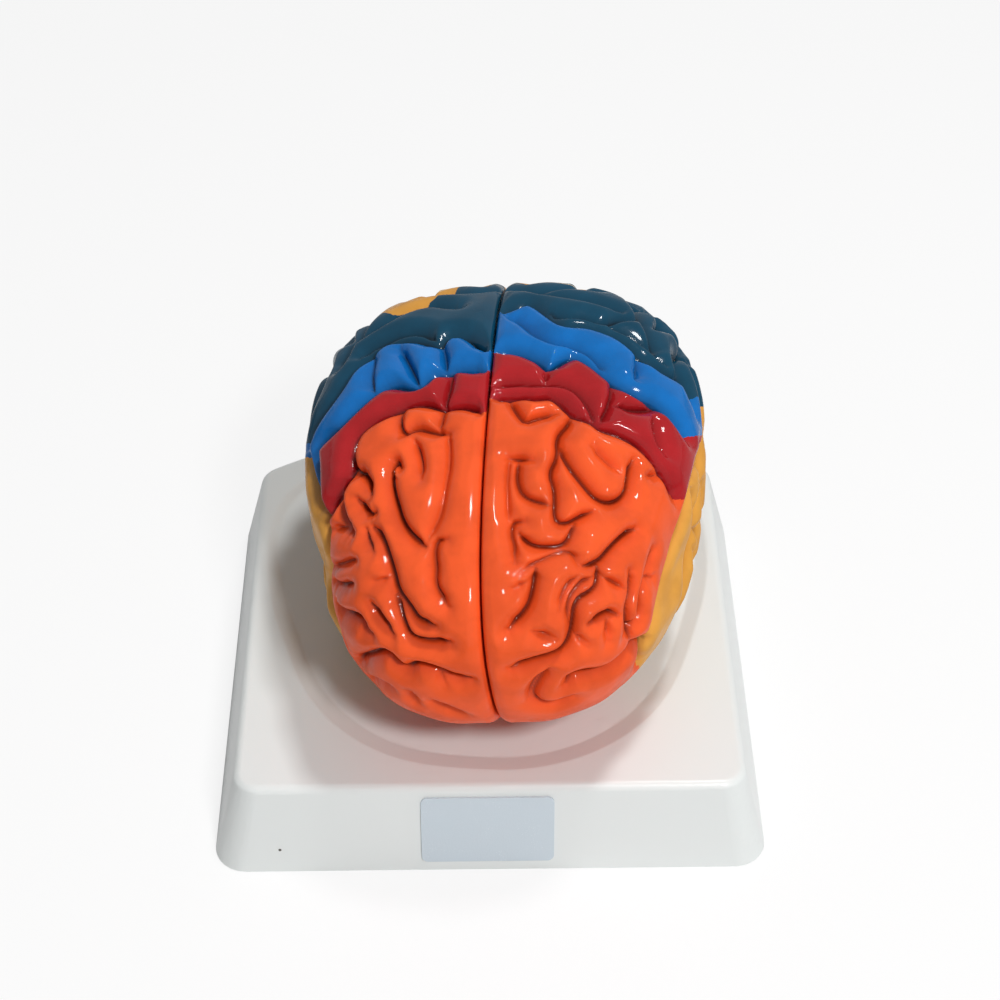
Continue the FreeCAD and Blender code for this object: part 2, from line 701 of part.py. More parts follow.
# Egg outline of the recess, narrow end to the front
def egg_outline(half, front, back, z):
    right = [(share * half, -front + behind) for share, behind in recess_front_arc]
    right += [(half, recess_widest_y)]
    right += [(recess_shoulder_share * half, recess_widest_y + recess_shoulder_back)]
    right += [(recess_rear_share * half, back - recess_rear_inset)]
    points = [V(0, -front, z)]
    points += [V(x, y, z) for x, y in right]
    points += [V(0, back, z)]
    points += [V(-x, y, z) for x, y in reversed(right)]
    curve = Part.BSplineCurve()
    curve.interpolate(Points=points, PeriodicFlag=True)
    return Part.Wire(curve.toShape())


def recess_edge(grow, z):
    return egg_outline(recess_half_width + grow, recess_front + grow, recess_back + grow, z)


def recess_foot(grow, z):
    half = recess_half_width - recess_side_slope + grow
    front = recess_front - recess_front_slope + grow
    back = recess_back - recess_back_slope + grow
    return egg_outline(half, front, back, z)


# Edges that lie flat at one height within a box around the middle
def level_edges(shape, z, half_x, half_y):
    found = []
    for edge in shape.Edges:
        box = edge.BoundBox
        if max(abs(box.ZMin - z), abs(box.ZMax - z)) < 1e-3 and box.XMax < half_x and box.YMax < half_y:
            found.append(edge)
    return found


def base_shell():
    outer = Part.makeLoft([base_outline(0, 0), base_outline(base_draft, base_height)], True, True)
    rim = [e for e in outer.Edges if all(abs(v.Z - base_height) < 1e-4 for v in e.Vertexes)]
    outer = outer.makeFillet(base_edge_radius, rim)
    inner_height = base_height - base_wall
    taper = base_draft * inner_height / base_height
    inner_top = base_outline(base_wall + taper, inner_height)
    inner = Part.makeLoft([base_outline(base_wall, -1), inner_top], True, True)
    above = base_height + 2
    dish = Part.makeLoft([recess_foot(0, floor_z), recess_edge(0, base_height)], True, True)
    lip = Part.makeLoft([recess_edge(0, base_height), recess_edge(0, above)], True, True)
    outer = outer.cut(dish.fuse(lip).removeSplitter())
    recess_edges = level_edges(outer, base_height, recess_half_width + 1, recess_back + 1)
    recess_edges += level_edges(outer, floor_z, recess_half_width, recess_back)
    outer = outer.makeFillet(recess_edge_radius, recess_edges)
    skin_floor = floor_z - base_wall
    skin = Part.makeLoft([recess_foot(base_wall, skin_floor), recess_edge(base_wall, above)], True, True)
    return outer.cut(inner.cut(skin))


def name_plate():
    slope = math.atan2(base_draft, base_height)
    outline = Part.makePlane(plate_width, plate_height, V(-plate_width / 2, -plate_height / 2, 0))
    slab = outline.extrude(V(0, 0, plate_thickness))
    upright = [e for e in slab.Edges if abs(e.Vertexes[0].Z - e.Vertexes[-1].Z) > plate_thickness / 2]
    slab = slab.makeFillet(plate_corner_radius, upright)
    middle_z = base_height / 2
    middle_y = -base_half_depth + base_draft * middle_z / base_height
    slab.rotate(V(0, 0, 0), V(1, 0, 0), 90 - math.degrees(slope))
    slab.translate(V(plate_x, middle_y, middle_z))
    return slab


midline_pin_places = [(-60.0, -4.0), (-14.0, 28.0), (34.0, 22.0)]
temporal_pin_places = [(-24.0, -20.5), (20.0, -14.0)]
cerebellum_pin_places = [(9.0, -43.0)]


def joined(shapes):
    return shapes[0] if len(shapes) == 1 else Part.makeCompound(shapes)


# Pieces of one half of the brain, in the brain's own axes
def half_pieces(side):
    name = "left" if side < 0 else "right"
    whole = hemisphere(side)
    upper = whole.cut(temporal_region(side, lobe_gap))
    under_core = [(temporal_front, -far_down), (temporal_front, core_floor)]
    under_core += [(core_back, core_floor), (core_back, -far_down)]
    upper = upper.cut(side_prism(under_core, -1, core_half_width + 1, side))
    upper = upper.cut(stem_bay(side))
    lower = whole.common(temporal_region(side, 0.0)).cut(tent_space(side))
    stem = stem_stack(stem_sections, 0.0, side)
    cerebellum = cerebellum_half(side).cut(stem_stack(stem_sections, 2 * stem_fit, side))
    pins = []
    for y, z in temporal_pin_places:
        pin, seat, socket = seat_and_socket(y, z, side * (core_half_width - lobe_gap), side)
        pins.append(pin)
        upper = upper.cut(seat)
        lower = lower.cut(socket)
    return name, upper, lower, stem, cerebellum, pins


def rear_pins(stem, cerebellum, side):
    pins = []
    for x, z in cerebellum_pin_places:
        start = V(side * x, cerebellum_pin_face - pin_seat, z)
        pin = Part.makeCylinder(pin_radius, pin_seat + pin_reach, start, V(0, 1, 0))
        deep = pin_seat + pin_reach + pin_play
        socket = Part.makeCylinder(pin_radius + pin_play, deep, start, V(0, 1, 0))
        stem = stem.cut(pin)
        cerebellum = cerebellum.cut(socket)
        pins.append(pin)
    return stem, cerebellum, pins


def build():
    parts = {"base": base_shell(), "name_plate": name_plate()}
    halves = {}
    for side in (-1, 1):
        name, upper, lower, stem, cerebellum, pins = half_pieces(side)
        stem, cerebellum, back_pins = rear_pins(stem, cerebellum, side)
        halves[side] = [name, upper, lower, stem, cerebellum, pins, back_pins]
    midline_pins = []
    for y, z in midline_pin_places:
        pin, seat, socket = seat_and_socket(y, z, -fissure_gap / 2, 1)
        midline_pins.append(pin)
        halves[-1][1] = halves[-1][1].cut(seat)
        halves[1][1] = halves[1][1].cut(socket)
    parts["midline_pins"] = seated(joined(midline_pins))
    for side in (-1, 1):
        name, upper, lower, stem, cerebellum, pins, back_pins = halves[side]
        stem = seated(stem).cut(below(floor_z + (floor_clearance if side > 0 else 0.0)))
        parts[name + "_frontoparietal_lobe"] = seated(upper)
        parts[name + "_temporooccipital_lobe"] = seated(lower)
        parts[name + "_brainstem"] = stem
        parts[name + "_cerebellum"] = seated(cerebellum)
        parts[name + "_lobe_pins"] = seated(joined(pins))
        parts[name + "_cerebellum_pin"] = seated(joined(back_pins))
    return parts


os.makedirs("parts", exist_ok=True)
for node, shape in build().items():
    shape.exportStep("parts/" + node + ".step")
    print(node, len(shape.Solids), len(shape.Faces), round(shape.Volume / 1000, 1), shape.isValid())
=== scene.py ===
import math

import bmesh
import bpy
import numpy as np
from bpy.props import FloatProperty, FloatVectorProperty, IntProperty, PointerProperty
from mathutils import Euler, Matrix, Vector


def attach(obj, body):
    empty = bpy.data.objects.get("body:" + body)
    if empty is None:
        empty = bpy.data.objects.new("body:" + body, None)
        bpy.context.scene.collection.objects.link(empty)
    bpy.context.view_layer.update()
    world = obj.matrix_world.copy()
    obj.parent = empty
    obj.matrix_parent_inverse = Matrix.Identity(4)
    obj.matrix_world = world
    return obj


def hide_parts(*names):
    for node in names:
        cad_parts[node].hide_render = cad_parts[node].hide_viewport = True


bl_info = {
    "name": "Brain anatomy model",
    "version": (1, 0, 0),
    "blender": (4, 5, 0),
    "location": "View3D > Sidebar > Brain model",
    "description": "Painted lobes, moulded stand, blank plate and studio for a brain teaching model",
    "category": "Object",
}

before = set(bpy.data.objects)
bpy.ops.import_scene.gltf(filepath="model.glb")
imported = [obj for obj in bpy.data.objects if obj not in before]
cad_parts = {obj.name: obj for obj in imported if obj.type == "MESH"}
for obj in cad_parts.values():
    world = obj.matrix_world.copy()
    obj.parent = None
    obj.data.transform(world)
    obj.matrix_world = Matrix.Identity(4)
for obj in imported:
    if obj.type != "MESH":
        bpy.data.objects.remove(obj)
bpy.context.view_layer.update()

ROOT = math.sqrt(0.5)
MM = 0.001

# Place of the brain in its recess, in millimetres and degrees
BRAIN_PLACE = Vector((6.3, -9.0, 102.2))
BRAIN_TURN = (5.0, -6.5, -4.7)

# Outer form of the cerebrum, as in the part's source
HALF_WIDTH = 74.5
FRONT_REACH = 96.0
BACK_REACH = 87.0
TOP_REACH = 49.0
LOW_REACH = 65.0
WIDEST_Y = 42.0
ROUND_SQUARE = 2.95
LONG_SQUARE = 2.42
TAPER_BEND = 1.7
FRONT_TAPER = 0.21
BACK_TAPER = 0.08
TOP_TAPER = 0.07
TEMPLE_HOLLOW = 0.08
FOREHEAD_HOLLOW = 0.04
ORBITAL_LIFT = 6.0
TENTORIAL_LIFT = 32.0
HALF_FISSURE = 0.45
FISSURE_ROUNDING = 3.2
FISSURE_SHOULDER = 7.0

# Division into lobes
LOBE_GAP = 0.45
CORE_HALF_WIDTH = 38.0
CORE_FLOOR = -26.0
CORE_BACK = 42.0
BACK_WALL_START = 18.0
TEMPORAL_FRONT = -41.0
TENT_FRONT = 20.5
TENT_LENGTH = 117.0
BAY_HALF_WIDTH = 15.0
OVERLAP = 1.0
FAR_SIDE = 105.0
FAR_BACK = 117
FAR_UP = 79
FAR_DOWN = -125

# Cerebellum
CEREBELLUM_HALF = (50.0, 26.0, 19.0)
CEREBELLUM_PLACE = (0, 48.5, -48.5)
CEREBELLUM_WAIST = 0.22
WAIST_WIDTH = 9.0
CEREBELLUM_WIDE_SQUARE = 2.6
CEREBELLUM_LONG_SQUARE = 2.3
LEAF_SPACING = 2.1
LEAF_CURVE = 3.0
LEAF_FANNING = 0.35
LEAF_SHARPNESS = 0.6
STEM_CLEARANCE = 0.6

# Sockets of the locating pins, each as (distance back, height)
SOCKET_RADIUS = 2.3
LOBE_SOCKETS = ((-24.0, -20.5), (20.0, -14.0))
LOBE_SOCKET_START = 35.0
LOBE_SOCKET_LENGTH = 11.85
MIDLINE_SOCKETS = ((-60.0, -4.0), (-14.0, 28.0), (34.0, 22.0))
MIDLINE_SOCKET_LENGTH = 9.85
CEREBELLUM_SOCKET = (9.0, 12.0, -43.0)
CEREBELLUM_SOCKET_LENGTH = 17.3

# Section of a fold, in mm and as shares of its depth or reach
CREASE_ROUNDING = 0.6
CREASE_WIDTH = 1.0
NARROWEST_REACH = 0.72
END_SHARE = 0.6
END_RUN = 4.0
ROUND_SHARE = 0.6
SWELL = 0.32

# Spread of the mesh over the cerebrum and the cerebellum
CEREBRUM_SPREAD = (0.8, 1.0, 0.66)
CEREBELLUM_SPREAD = (1.0, 0.55, 0.42)
CEREBELLUM_CUTS = 89

# Search for the surface along a direction, in mm from the middle
NEAREST_SURFACE = 1.0
FARTHEST_SURFACE = 150.0
HALVINGS = 24

# Copies of frame nodes: doubles this close are merged, in metres; angles in degrees
MERGE_DISTANCE = 2e-6
FLAT_ANGLE = 2.0
LOBE_SHARP_ANGLE = 30.0
STEM_SHARP_ANGLE = 40.0
STAND_SHARP_ANGLE = 28.0

# Colours that multiply the paint: random blotches, painted shade in the creases, and painted shade that
# deepens with the depth of the folds
BLOTCH_SHADE = (0.86, 0.84, 0.84)
PAINTED_CREASE_SHADE = (0.16, 0.08, 0.08)
PAINTED_SUNK_SHADE = (0.55, 0.40, 0.40)
BORDER_WOBBLE = 1.2
BORDER_SOFTNESS = 0.12
VINYL_SHADE = 0.86
STAND_SHADE = 0.985

# One dark speck on the front slope of the stand, in metres
SPECK_PLACE = (-0.0764, -0.1048, 0.0094)
SPECK_INNER = 0.0004
SPECK_OUTER = 0.0007
SPECK_COLOUR = (0.06, 0.05, 0.04)
# Colour of the plate's glitter flakes, painted lighter as their glints
GLITTER_GLINT_COLOUR = (0.85, 0.9, 0.95)

# Sketches are lifted on to the form from planes at these distances
SKETCH_SPACING = 1.6
SKETCH_BREAK = 8.0
SKETCH_HALVINGS = 9
SIGHT_REACH = 230
FRONT_PLANE = 150
SIDE_PLANE = 120.0
BACK_PLANE = 140.0
UNDER_PLANE = -110.0

# Far corners that close a paint border over the back of its sketch
BORDER_SIDE = 140
BORDER_TOP = 150
BORDER_INNER = -6

# Face groups of a lobe
SKIN = 0
INSIDE = 1
MIDLINE = 2

# Lamps as name, place, height that it points at, size and share of the key power
LAMPS = (
    ("key_lamp", (0.35, -0.8, 1.05), 0.06, 0.18, 1.2),
    ("top_lamp", (0.3, 0.15, 1.4), 0.06, 0.16, 1.0),
    ("front_lamp", (0.3, -1.6, 0.5), 0.05, 0.8, 0.1),
)
CAMERA_PLACE = (-0.003173, -0.587315, 0.631924)
CAMERA_TURN = (math.radians(47), 0, -0.0136429)
SENSOR_WIDTH = 36.0
NEAR_CLIP = 0.01
TABLE_HALF_WIDTH = 4.0
TABLE_DROP = 0.0003
TABLE_GLOW = 0.8

# Folds seen from the front and above, as (distance from the midline, height) in mm,
# with the depth as a share of the deepest one.
front_left_folds = {
    "central": (1.0, [(2, 42.5), (8, 43.5), (13, 44), (17, 42.5), (22, 42), (26, 37.5), (31, 37.5),
                      (36, 38.5), (41, 37.5), (50, 30), (57, 23), (63, 19), (66.5, 14), (64.5, 5), (63, -6)]),
    "precentral": (0.9, [(2, 27), (5, 29), (10, 30), (16, 29), (24, 31.5), (31, 30.5), (36, 28),
                         (45, 24), (50, 18), (50, 6), (54, 0), (59, -9)]),
    "postcentral": (0.9, [(2, 50), (9, 56), (13, 56.5), (18, 56), (21, 52.5), (28, 55), (40, 55.5),
                          (47, 50), (53, 45), (58, 36), (67, 25), (70, 17)]),
    "precentral lobule": (0.6, [(14.5, 43), (15, 37), (16.5, 29), (17, 21)]),
    "upper frontal lobule": (0.8, [(31, 30.5), (33.5, 26), (31, 19.5), (26, 22.5), (21, 21), (13.5, 19.5)]),
    "medial strip": (0.45, [(13.5, 19.5), (12, 10), (13, 1), (14, -9), (18, -17)]),
    "superior frontal": (1.0, [(30, 8), (33, 11), (34, 4), (31.5, -4), (28, -12), (23, -17.5), (19, -19.5)]),
    "superior frontal hook": (0.6, [(22, 4), (22.5, 10), (25.5, 17.5)]),
    "medial pit": (0.7, [(11, -17), (15, -17.5), (16, -22), (15, -27), (15.5, -33), (11, -39.5)]),
    "middle frontal upper": (1.0, [(51, 12), (48, 6), (46, 7), (42.5, 3), (41, -1)]),
    "middle frontal hook": (0.9, [(46, -3), (43.5, -6), (41, -8.5), (38.5, -7.5)]),
    "lateral lobule": (1.0, [(50, 5), (53.5, 1), (53.5, -4), (52.5, -8), (50.5, -12), (47, -14.5)]),
    "lateral branch": (0.5, [(50, -13), (57, -13)]),
    "middle frontal": (1.0, [(39, -12.5), (36, -16), (33, -22.5), (31, -29), (29.5, -35), (25, -40),
                             (22, -45), (16, -46.5)]),
    "middle frontal spur": (0.7, [(41.5, -13), (41.5, -17), (38, -21)]),
    "middle frontal twig": (0.5, [(37, -30.5), (31, -30)]),
    "inferior frontal upper": (0.6, [(57, -27), (50, -25), (45, -23.5)]),
    "inferior frontal middle": (0.8, [(56.5, -32), (53.5, -34), (46.5, -32)]),
    "inferior frontal": (1.0, [(54.5, -39.5), (53, -43), (43, -44), (42.5, -47), (39.5, -49)]),
    "frontomarginal upper": (1.0, [(39, -38.5), (36, -43.5), (31.5, -49)]),
    "frontomarginal": (1.0, [(30, -36), (28, -44), (25.5, -50.5), (19, -52.5), (11, -52)]),
    "lateral orbital": (0.5, [(54, -48), (52.5, -55)]),
    "frontal pole": (1.0, [(50, -61.5), (43, -58.5), (35, -55.3), (31, -60), (27, -62.5), (24, -60),
                           (17, -62), (11, -65), (5.5, -65.5)]),
    "frontal pole twig": (0.5, [(17, -62.5), (14.5, -67)]),
    "orbital rim": (0.7, [(47, -68), (41, -67), (35.5, -68.5)]),
    "orbital twig": (0.5, [(28.5, -70), (27, -74.5)]),
    "medial orbital": (0.6, [(20, -74), (11, -79)]),
    "postcentral notch": (0.6, [(20, 54), (18, 49), (17, 43)]),
    "postcentral valley": (0.7, [(36, 52), (31, 45), (27, 38)]),
    "postcentral lateral": (0.6, [(46, 49), (46.5, 41), (44.5, 35.5)]),
    "parietal upper": (0.9, [(15, 66.5), (25, 68), (36, 65.5), (46, 60), (55, 54)]),
    "parietal lower": (0.8, [(22, 55), (27, 58), (37, 58), (46, 54), (52, 49)]),
}

front_right_folds = {
    "central": (1.0, [(1, 49.5), (9, 49.5), (18, 46), (21.5, 42), (27, 45.5), (31, 46.5), (38, 42.5),
                      (43, 37.5), (48, 34), (55, 29.5), (62, 25.5), (66, 20), (69, 14)]),
    "precentral": (0.8, [(1, 32), (14, 32.5), (17, 31.5), (24, 32), (31.5, 24), (38, 22), (41, 19),
                         (48, 16.5), (56, 11), (62, 2), (65, -8)]),
    "postcentral": (0.9, [(2, 64), (9, 67), (15, 66), (22, 60.5), (26, 57.5), (34, 57.5), (43, 54),
                          (50, 49), (54, 44.5), (60, 40), (68, 35), (70, 28)]),
    "precentral groove": (0.7, [(1, 37), (10, 37.5), (17, 36.5), (24, 36.5), (30, 35), (35, 31), (40, 21)]),
    "precentral notch": (0.6, [(20.5, 42), (21, 37)]),
    "precentral step": (0.7, [(45, 36), (45, 28), (41, 21)]),
    "precentral lateral": (0.8, [(46, 27.5), (54, 25), (61, 25.5)]),
    "precentral lower": (0.7, [(59, 22), (60, 15), (62.5, 9)]),
    "postcentral ridge": (0.6, [(4, 62.5), (10, 60), (19, 52.5), (31, 49.5), (38, 46), (43, 40)]),
    "postcentral lateral": (0.6, [(53, 45), (53.5, 40), (52.5, 36)]),
    "superior frontal upper": (0.8, [(7.5, 32), (12, 25), (14.5, 23), (18, 24.5), (25, 25.5)]),
    "superior frontal": (0.9, [(31, 24.5), (30.5, 21.5), (26, 17), (27, 10), (23.5, 4), (26, -2),
                               (25.5, -13), (30, -14), (34, -12), (38, -10)]),
    "middle lobule": (1.0, [(27.5, 13), (30, 7), (36, -1), (40, -6), (45, -8), (50, -5.5), (51, 2), (52, 7)]),
    "middle lobule crease": (0.5, [(38, 13), (41.5, 9), (47, 3.5)]),
    "medial pit": (0.8, [(8.5, 10), (12, 9.5), (17, 9)]),
    "medial hook": (0.8, [(12.5, 9), (12, 1), (15, -4.5), (24, -7)]),
    "medial strip": (0.45, [(9, 10), (8.5, 0), (9.5, -12)]),
    "medial lower pit": (0.7, [(15, -12), (11, -12.5), (10.5, -17), (12, -21), (11.5, -26)]),
    "medial lower hook": (0.9, [(13, -16), (17, -21), (26, -21.8), (30, -20.5), (33, -13.5)]),
    "medial dimple": (0.5, [(10.5, -26), (14, -26)]),
    "medial descending": (1.0, [(19, -28), (18, -36), (15.5, -43), (9, -48)]),
    "medial twig": (0.5, [(11, -34), (16, -32)]),
    "medial upper rim": (0.6, [(13.8, -28.4), (24.7, -24), (31.2, -22.8), (33.3, -27.8)]),
    "middle frontal twig": (0.7, [(38, -32), (34.2, -33.4), (29.1, -40.6), (29.4, -47.4)]),
    "outer frontal": (0.8, [(50, -31), (50.4, -37.8), (47.9, -44.3), (48.5, -55.6)]),
    "pole rise": (0.6, [(12.6, -74.1), (15.3, -68.2), (20.9, -63.5)]),
    "inferior frontal upper": (1.0, [(35, -28), (40, -28.3), (45, -22.5), (52, -17)]),
    "middle frontal": (1.0, [(40, -28.3), (40, -34), (38.5, -37), (32, -40), (30.5, -50), (28.5, -55),
                             (25, -58), (16, -60), (8.5, -62)]),
    "middle frontal valley": (0.6, [(33, -31), (28, -36), (26.5, -42.5)]),
    "middle frontal spur": (0.6, [(41, -32), (44, -34), (48, -37)]),
    "pole spur": (0.6, [(30.5, -51), (34, -54)]),
    "pole dimple": (0.5, [(17, -49), (24, -51.5)]),
    "frontomarginal": (1.0, [(36, -47.5), (42.5, -44.5), (45, -45.5)]),
    "frontomarginal fold": (0.5, [(42, -45), (41, -54)]),
    "inferior frontal": (1.0, [(57, -25), (54.5, -34), (52.5, -42), (52, -48), (47, -53)]),
    "lateral orbital": (1.0, [(53, -57.5), (49, -57), (44, -62), (38, -66), (29, -65.3), (26, -69)]),
    "lateral branch": (0.6, [(54.5, -34.5), (60, -34.5)]),
    "frontal edge": (0.5, [(56, 1.5), (62, 1)]),
    "medial orbital": (0.6, [(21.5, -63), (16, -70), (13.5, -75), (20, -77), (27, -74)]),
    "parietal upper": (0.8, [(12, 71), (20, 69.5), (31, 67), (38, 65), (46, 62)]),
    "parietal lower": (0.9, [(20, 64), (26, 61.5), (33, 61), (41, 58), (46, 60), (54, 58)]),
    "parietal lateral": (0.7, [(41, 58), (50, 53), (57, 47), (63, 41)]),
}

# Folds of the side, as (distance back, height)
side_folds = {
    "superior temporal": (1.0, [(-44, -36), (-30, -28), (-8, -20), (14, -12), (32, -2), (44, 10), (50, 20)]),
    "superior temporal twig": (0.6, [(-12, -21), (-16, -13)]),
    "middle temporal": (0.9, [(-40, -46), (-22, -39), (-6, -36), (8, -28)]),
    "middle temporal back": (0.9, [(14, -32), (28, -23), (40, -17), (52, -10)]),
    "middle temporal twig": (0.6, [(24, -25), (22, -15)]),
    "inferior temporal": (0.9, [(-34, -54), (-14, -50), (4, -44), (22, -40), (36, -33)]),
    "supramarginal": (0.9, [(14, 17), (22, 24), (32, 28), (40, 24), (42, 17)]),
    "lower central": (0.8, [(4, 10), (-2, 1), (-7, -4)]),
    "lower precentral": (0.8, [(-14, 6), (-18, -4), (-22, -9)]),
    "angular": (0.9, [(48, 30), (56, 22), (62, 26), (66, 20)]),
    "intraparietal": (1.0, [(30, 34), (42, 34), (54, 32), (64, 28)]),
    "lateral occipital": (0.9, [(50, 4), (62, 3), (74, -2)]),
    "occipital branch": (0.7, [(60, 14), (68, 10), (70, 2)]),
    "preoccipital": (0.7, [(46, -22), (56, -16), (66, -14)]),
    "temporal pole": (0.6, [(-44, -52), (-38, -58), (-28, -60)]),
    "temporal pole upper": (0.5, [(-43, -44), (-38, -38), (-34, -38)]),
    "temporal step front": (0.5, [(-24, -24), (-22, -17)]),
    "temporal step middle": (0.5, [(-2, -14), (2, -8)]),
    "temporal step back": (0.5, [(18, -6), (20, 0)]),
    "temporal twig front": (0.6, [(-20, -30), (-14, -34), (-12, -38)]),
    "temporal twig middle": (0.6, [(0, -24), (4, -29)]),
    "temporal twig back": (0.6, [(30, -12), (36, -8), (42, -6)]),
    "temporal link": (0.6, [(38, -17), (36, -24), (40, -30)]),
    "temporal lower twig": (0.6, [(-10, -50), (-8, -43)]),
    "temporal lower link": (0.6, [(12, -42), (14, -36)]),
    "temporal lower edge": (0.6, [(-24, -60), (-6, -58), (12, -54), (26, -46)]),
    "angular twig": (0.6, [(44, 20), (50, 14), (58, 12)]),
    "occipital step": (0.6, [(56, -4), (60, -8), (68, -8)]),
    "occipital rim": (0.6, [(76, 10), (80, 2), (80, -6)]),
}

# Folds of the back, as (distance from the midline, height)
back_folds = {
    "parieto occipital": (1.0, [(2, 37), (14, 37.5), (24, 34.5), (34, 33)]),
    "transverse occipital": (0.9, [(6, 26), (16, 22), (28, 25), (40, 22), (50, 24)]),
    "occipital arch": (0.9, [(10, 12), (22, 14), (34, 8), (46, 11), (56, 6)]),
    "occipital pole": (0.9, [(2, 1), (12, 0), (20, -5), (32, -3), (44, -6)]),
    "occipital lower": (0.8, [(8, -12), (20, -16), (34, -15), (48, -18)]),
    "occipital link": (0.6, [(22, 14), (20, 5), (24, -4)]),
    "occipital outer link": (0.6, [(46, 11), (44, 2)]),
    "parietal link": (0.6, [(28, 25), (30, 33)]),
    "cuneus": (0.6, [(8, 32), (14, 29), (22, 29)]),
    "occipital middle twig": (0.6, [(30, 16), (36, 18), (42, 15)]),
    "occipital inner twig": (0.6, [(8, 6), (16, 7), (26, 4)]),
    "occipital outer twig": (0.6, [(34, 2), (40, -1), (48, -1)]),
    "occipital lower twig": (0.6, [(10, -6), (22, -10), (32, -10)]),
    "occipital outer": (0.6, [(58, 16), (62, 8), (60, -2), (56, -10)]),
}

# Folds of the underside, as (distance from the midline, distance back)
under_folds = {
    "olfactory": (0.8, [(8, -84), (9, -64), (10, -48)]),
    "orbital": (0.9, [(22, -82), (24, -68), (20, -56)]),
    "orbital cross": (0.8, [(24, -68), (34, -66), (42, -58)]),
    "collateral": (0.9, [(30, -28), (32, -8), (34, 12), (32, 20)]),
    "occipitotemporal": (0.8, [(46, -24), (48, -4), (50, 16)]),
    "orbital front": (0.6, [(30, -76), (38, -74)]),
    "orbital inner": (0.6, [(14, -76), (16, -60)]),
    "orbital outer": (0.6, [(34, -66), (36, -54)]),
    "temporal under": (0.6, [(38, -34), (40, -16), (42, 4)]),
    "temporal under outer": (0.6, [(54, -20), (58, 0), (58, 16)]),
    "occipital under inner": (0.7, [(10, 48), (12, 62), (14, 76)]),
    "occipital under middle": (0.7, [(24, 44), (28, 58), (26, 72)]),
    "occipital under outer": (0.7, [(42, 36), (44, 50), (40, 62)]),
}

# Line between the upper and the lower piece on the side, as (distance back, height)
parting_rise = [(50, 22), (62, 26), (70, 31), (76, 37)]
lateral_fissure = [(-47, -44), (-46, -25), (-30, -14.5), (-10, -5.5), (10, 2.5), (28, 11.5), (37, 19)]

# Front edge of the ochre paint on the side, in the front sketch
temporal_borders = {
    -1: [(70, 12), (68, 5), (65.5, -1), (60, -9), (57.8, -20), (58.5, -28), (61, -36), (60, -48), (52, -62),
         (46, -80)],
    1: [(76, 14), (73, 9), (70.3, -2), (68, -10), (65, -18), (61.5, -27), (58.5, -36), (56, -45), (54, -54),
        (49, -64), (44, -80)],
}

# Back edge of the teal paint over the top, as (distance from the midline, distance back)
parietal_backs = {
    -1: [(0, 76), (16, 72), (20, 66), (24, 60), (28, 57), (34, 55), (41, 53.5), (46, 57), (50, 66), (60, 70),
         (75, 70)],
    1: [(0, 74), (20, 76), (40, 76), (60, 74), (75, 72)],
}

# Lower edge of the teal paint behind the fissure, as (distance back, height)
parietal_rim = [(20, 60), (26, 9), (30, 4), (45, 5), (58, 8), (68, 13), (76, 20), (84, 30)]

# The parting also shows as a fold on both sides of it
parting_folds = {
    "lateral fissure": (1.3, lateral_fissure),
    "parting": (0.8, lateral_fissure[-1:] + parting_rise),
}


def form():
    return bpy.context.scene.brain_form


def colours():
    return bpy.context.scene.brain_colours


def smooth(start, end, value):
    t = np.clip((value - start) / (end - start), 0, 1)
    return t * t * (3 - 2 * t)


# Outer form of the cerebrum in its own axes: below 1 inside, 1 on the surface
def cerebrum_level(p):
    x, y, z = np.abs(p[:, 0]), p[:, 1], p[:, 2]
    reach = np.where(y < 0, FRONT_REACH, BACK_REACH)
    low = LOW_REACH - ORBITAL_LIFT * smooth(-38, -58, y) - TENTORIAL_LIFT * smooth(25, 62, y)
    rise = np.where(z > 0, TOP_REACH, low)
    ahead = np.clip((WIDEST_Y - y) / (WIDEST_Y + FRONT_REACH), 0, 1)
    behind = np.clip((y - WIDEST_Y) / (BACK_REACH - WIDEST_Y), 0, 1)
    width = HALF_WIDTH * (1 - FRONT_TAPER * ahead ** TAPER_BEND) * (1 - BACK_TAPER * behind ** TAPER_BEND)
    width = width * (1 - TOP_TAPER * smooth(10, 55, z))
    width = width * (1 - TEMPLE_HOLLOW * np.exp(-((y + 46) / 21) ** 2) * smooth(-18, -6, z))
    width = width * (1 - FOREHEAD_HOLLOW * smooth(-40, -60, y) * smooth(0, -30, z))
    profile = np.abs(y / reach) ** LONG_SQUARE + np.abs(z / rise) ** LONG_SQUARE
    return (x / width) ** ROUND_SQUARE + profile ** (ROUND_SQUARE / LONG_SQUARE)


# The same for the cerebellum, with a waist at the midline
def cerebellum_level(p):
    half_width, half_depth, half_height = CEREBELLUM_HALF
    waist = 1 - CEREBELLUM_WAIST * np.exp(-(p[:, 0] / WAIST_WIDTH) ** 2)
    across = (np.abs(p[:, 0]) / half_width) ** CEREBELLUM_WIDE_SQUARE
    along = (np.abs(p[:, 1]) / (half_depth * waist)) ** CEREBELLUM_LONG_SQUARE
    return across + along + (np.abs(p[:, 2]) / (half_height * waist)) ** CEREBELLUM_LONG_SQUARE


# Distance from the middle to the surface along each direction
def surface_distance(directions, level):
    low = np.full(len(directions), NEAREST_SURFACE)
    high = np.full(len(directions), FARTHEST_SURFACE)
    for step in range(HALVINGS):
        middle = (low + high) / 2
        inside = level(directions * middle[:, None]) < 1
        low = np.where(inside, middle, low)
        high = np.where(inside, high, middle)
    return low


# A sketched line with its corners cut twice
def softened(line):
    points = np.array(line, float)
    for round_off in range(2):
        ahead = points[:-1] * 0.75 + points[1:] * 0.25
        behind = points[:-1] * 0.25 + points[1:] * 0.75
        middle = np.empty((2 * len(ahead), 2))
        middle[0::2] = ahead
        middle[1::2] = behind
        points = np.vstack([points[:1], middle, points[-1:]])
    return points


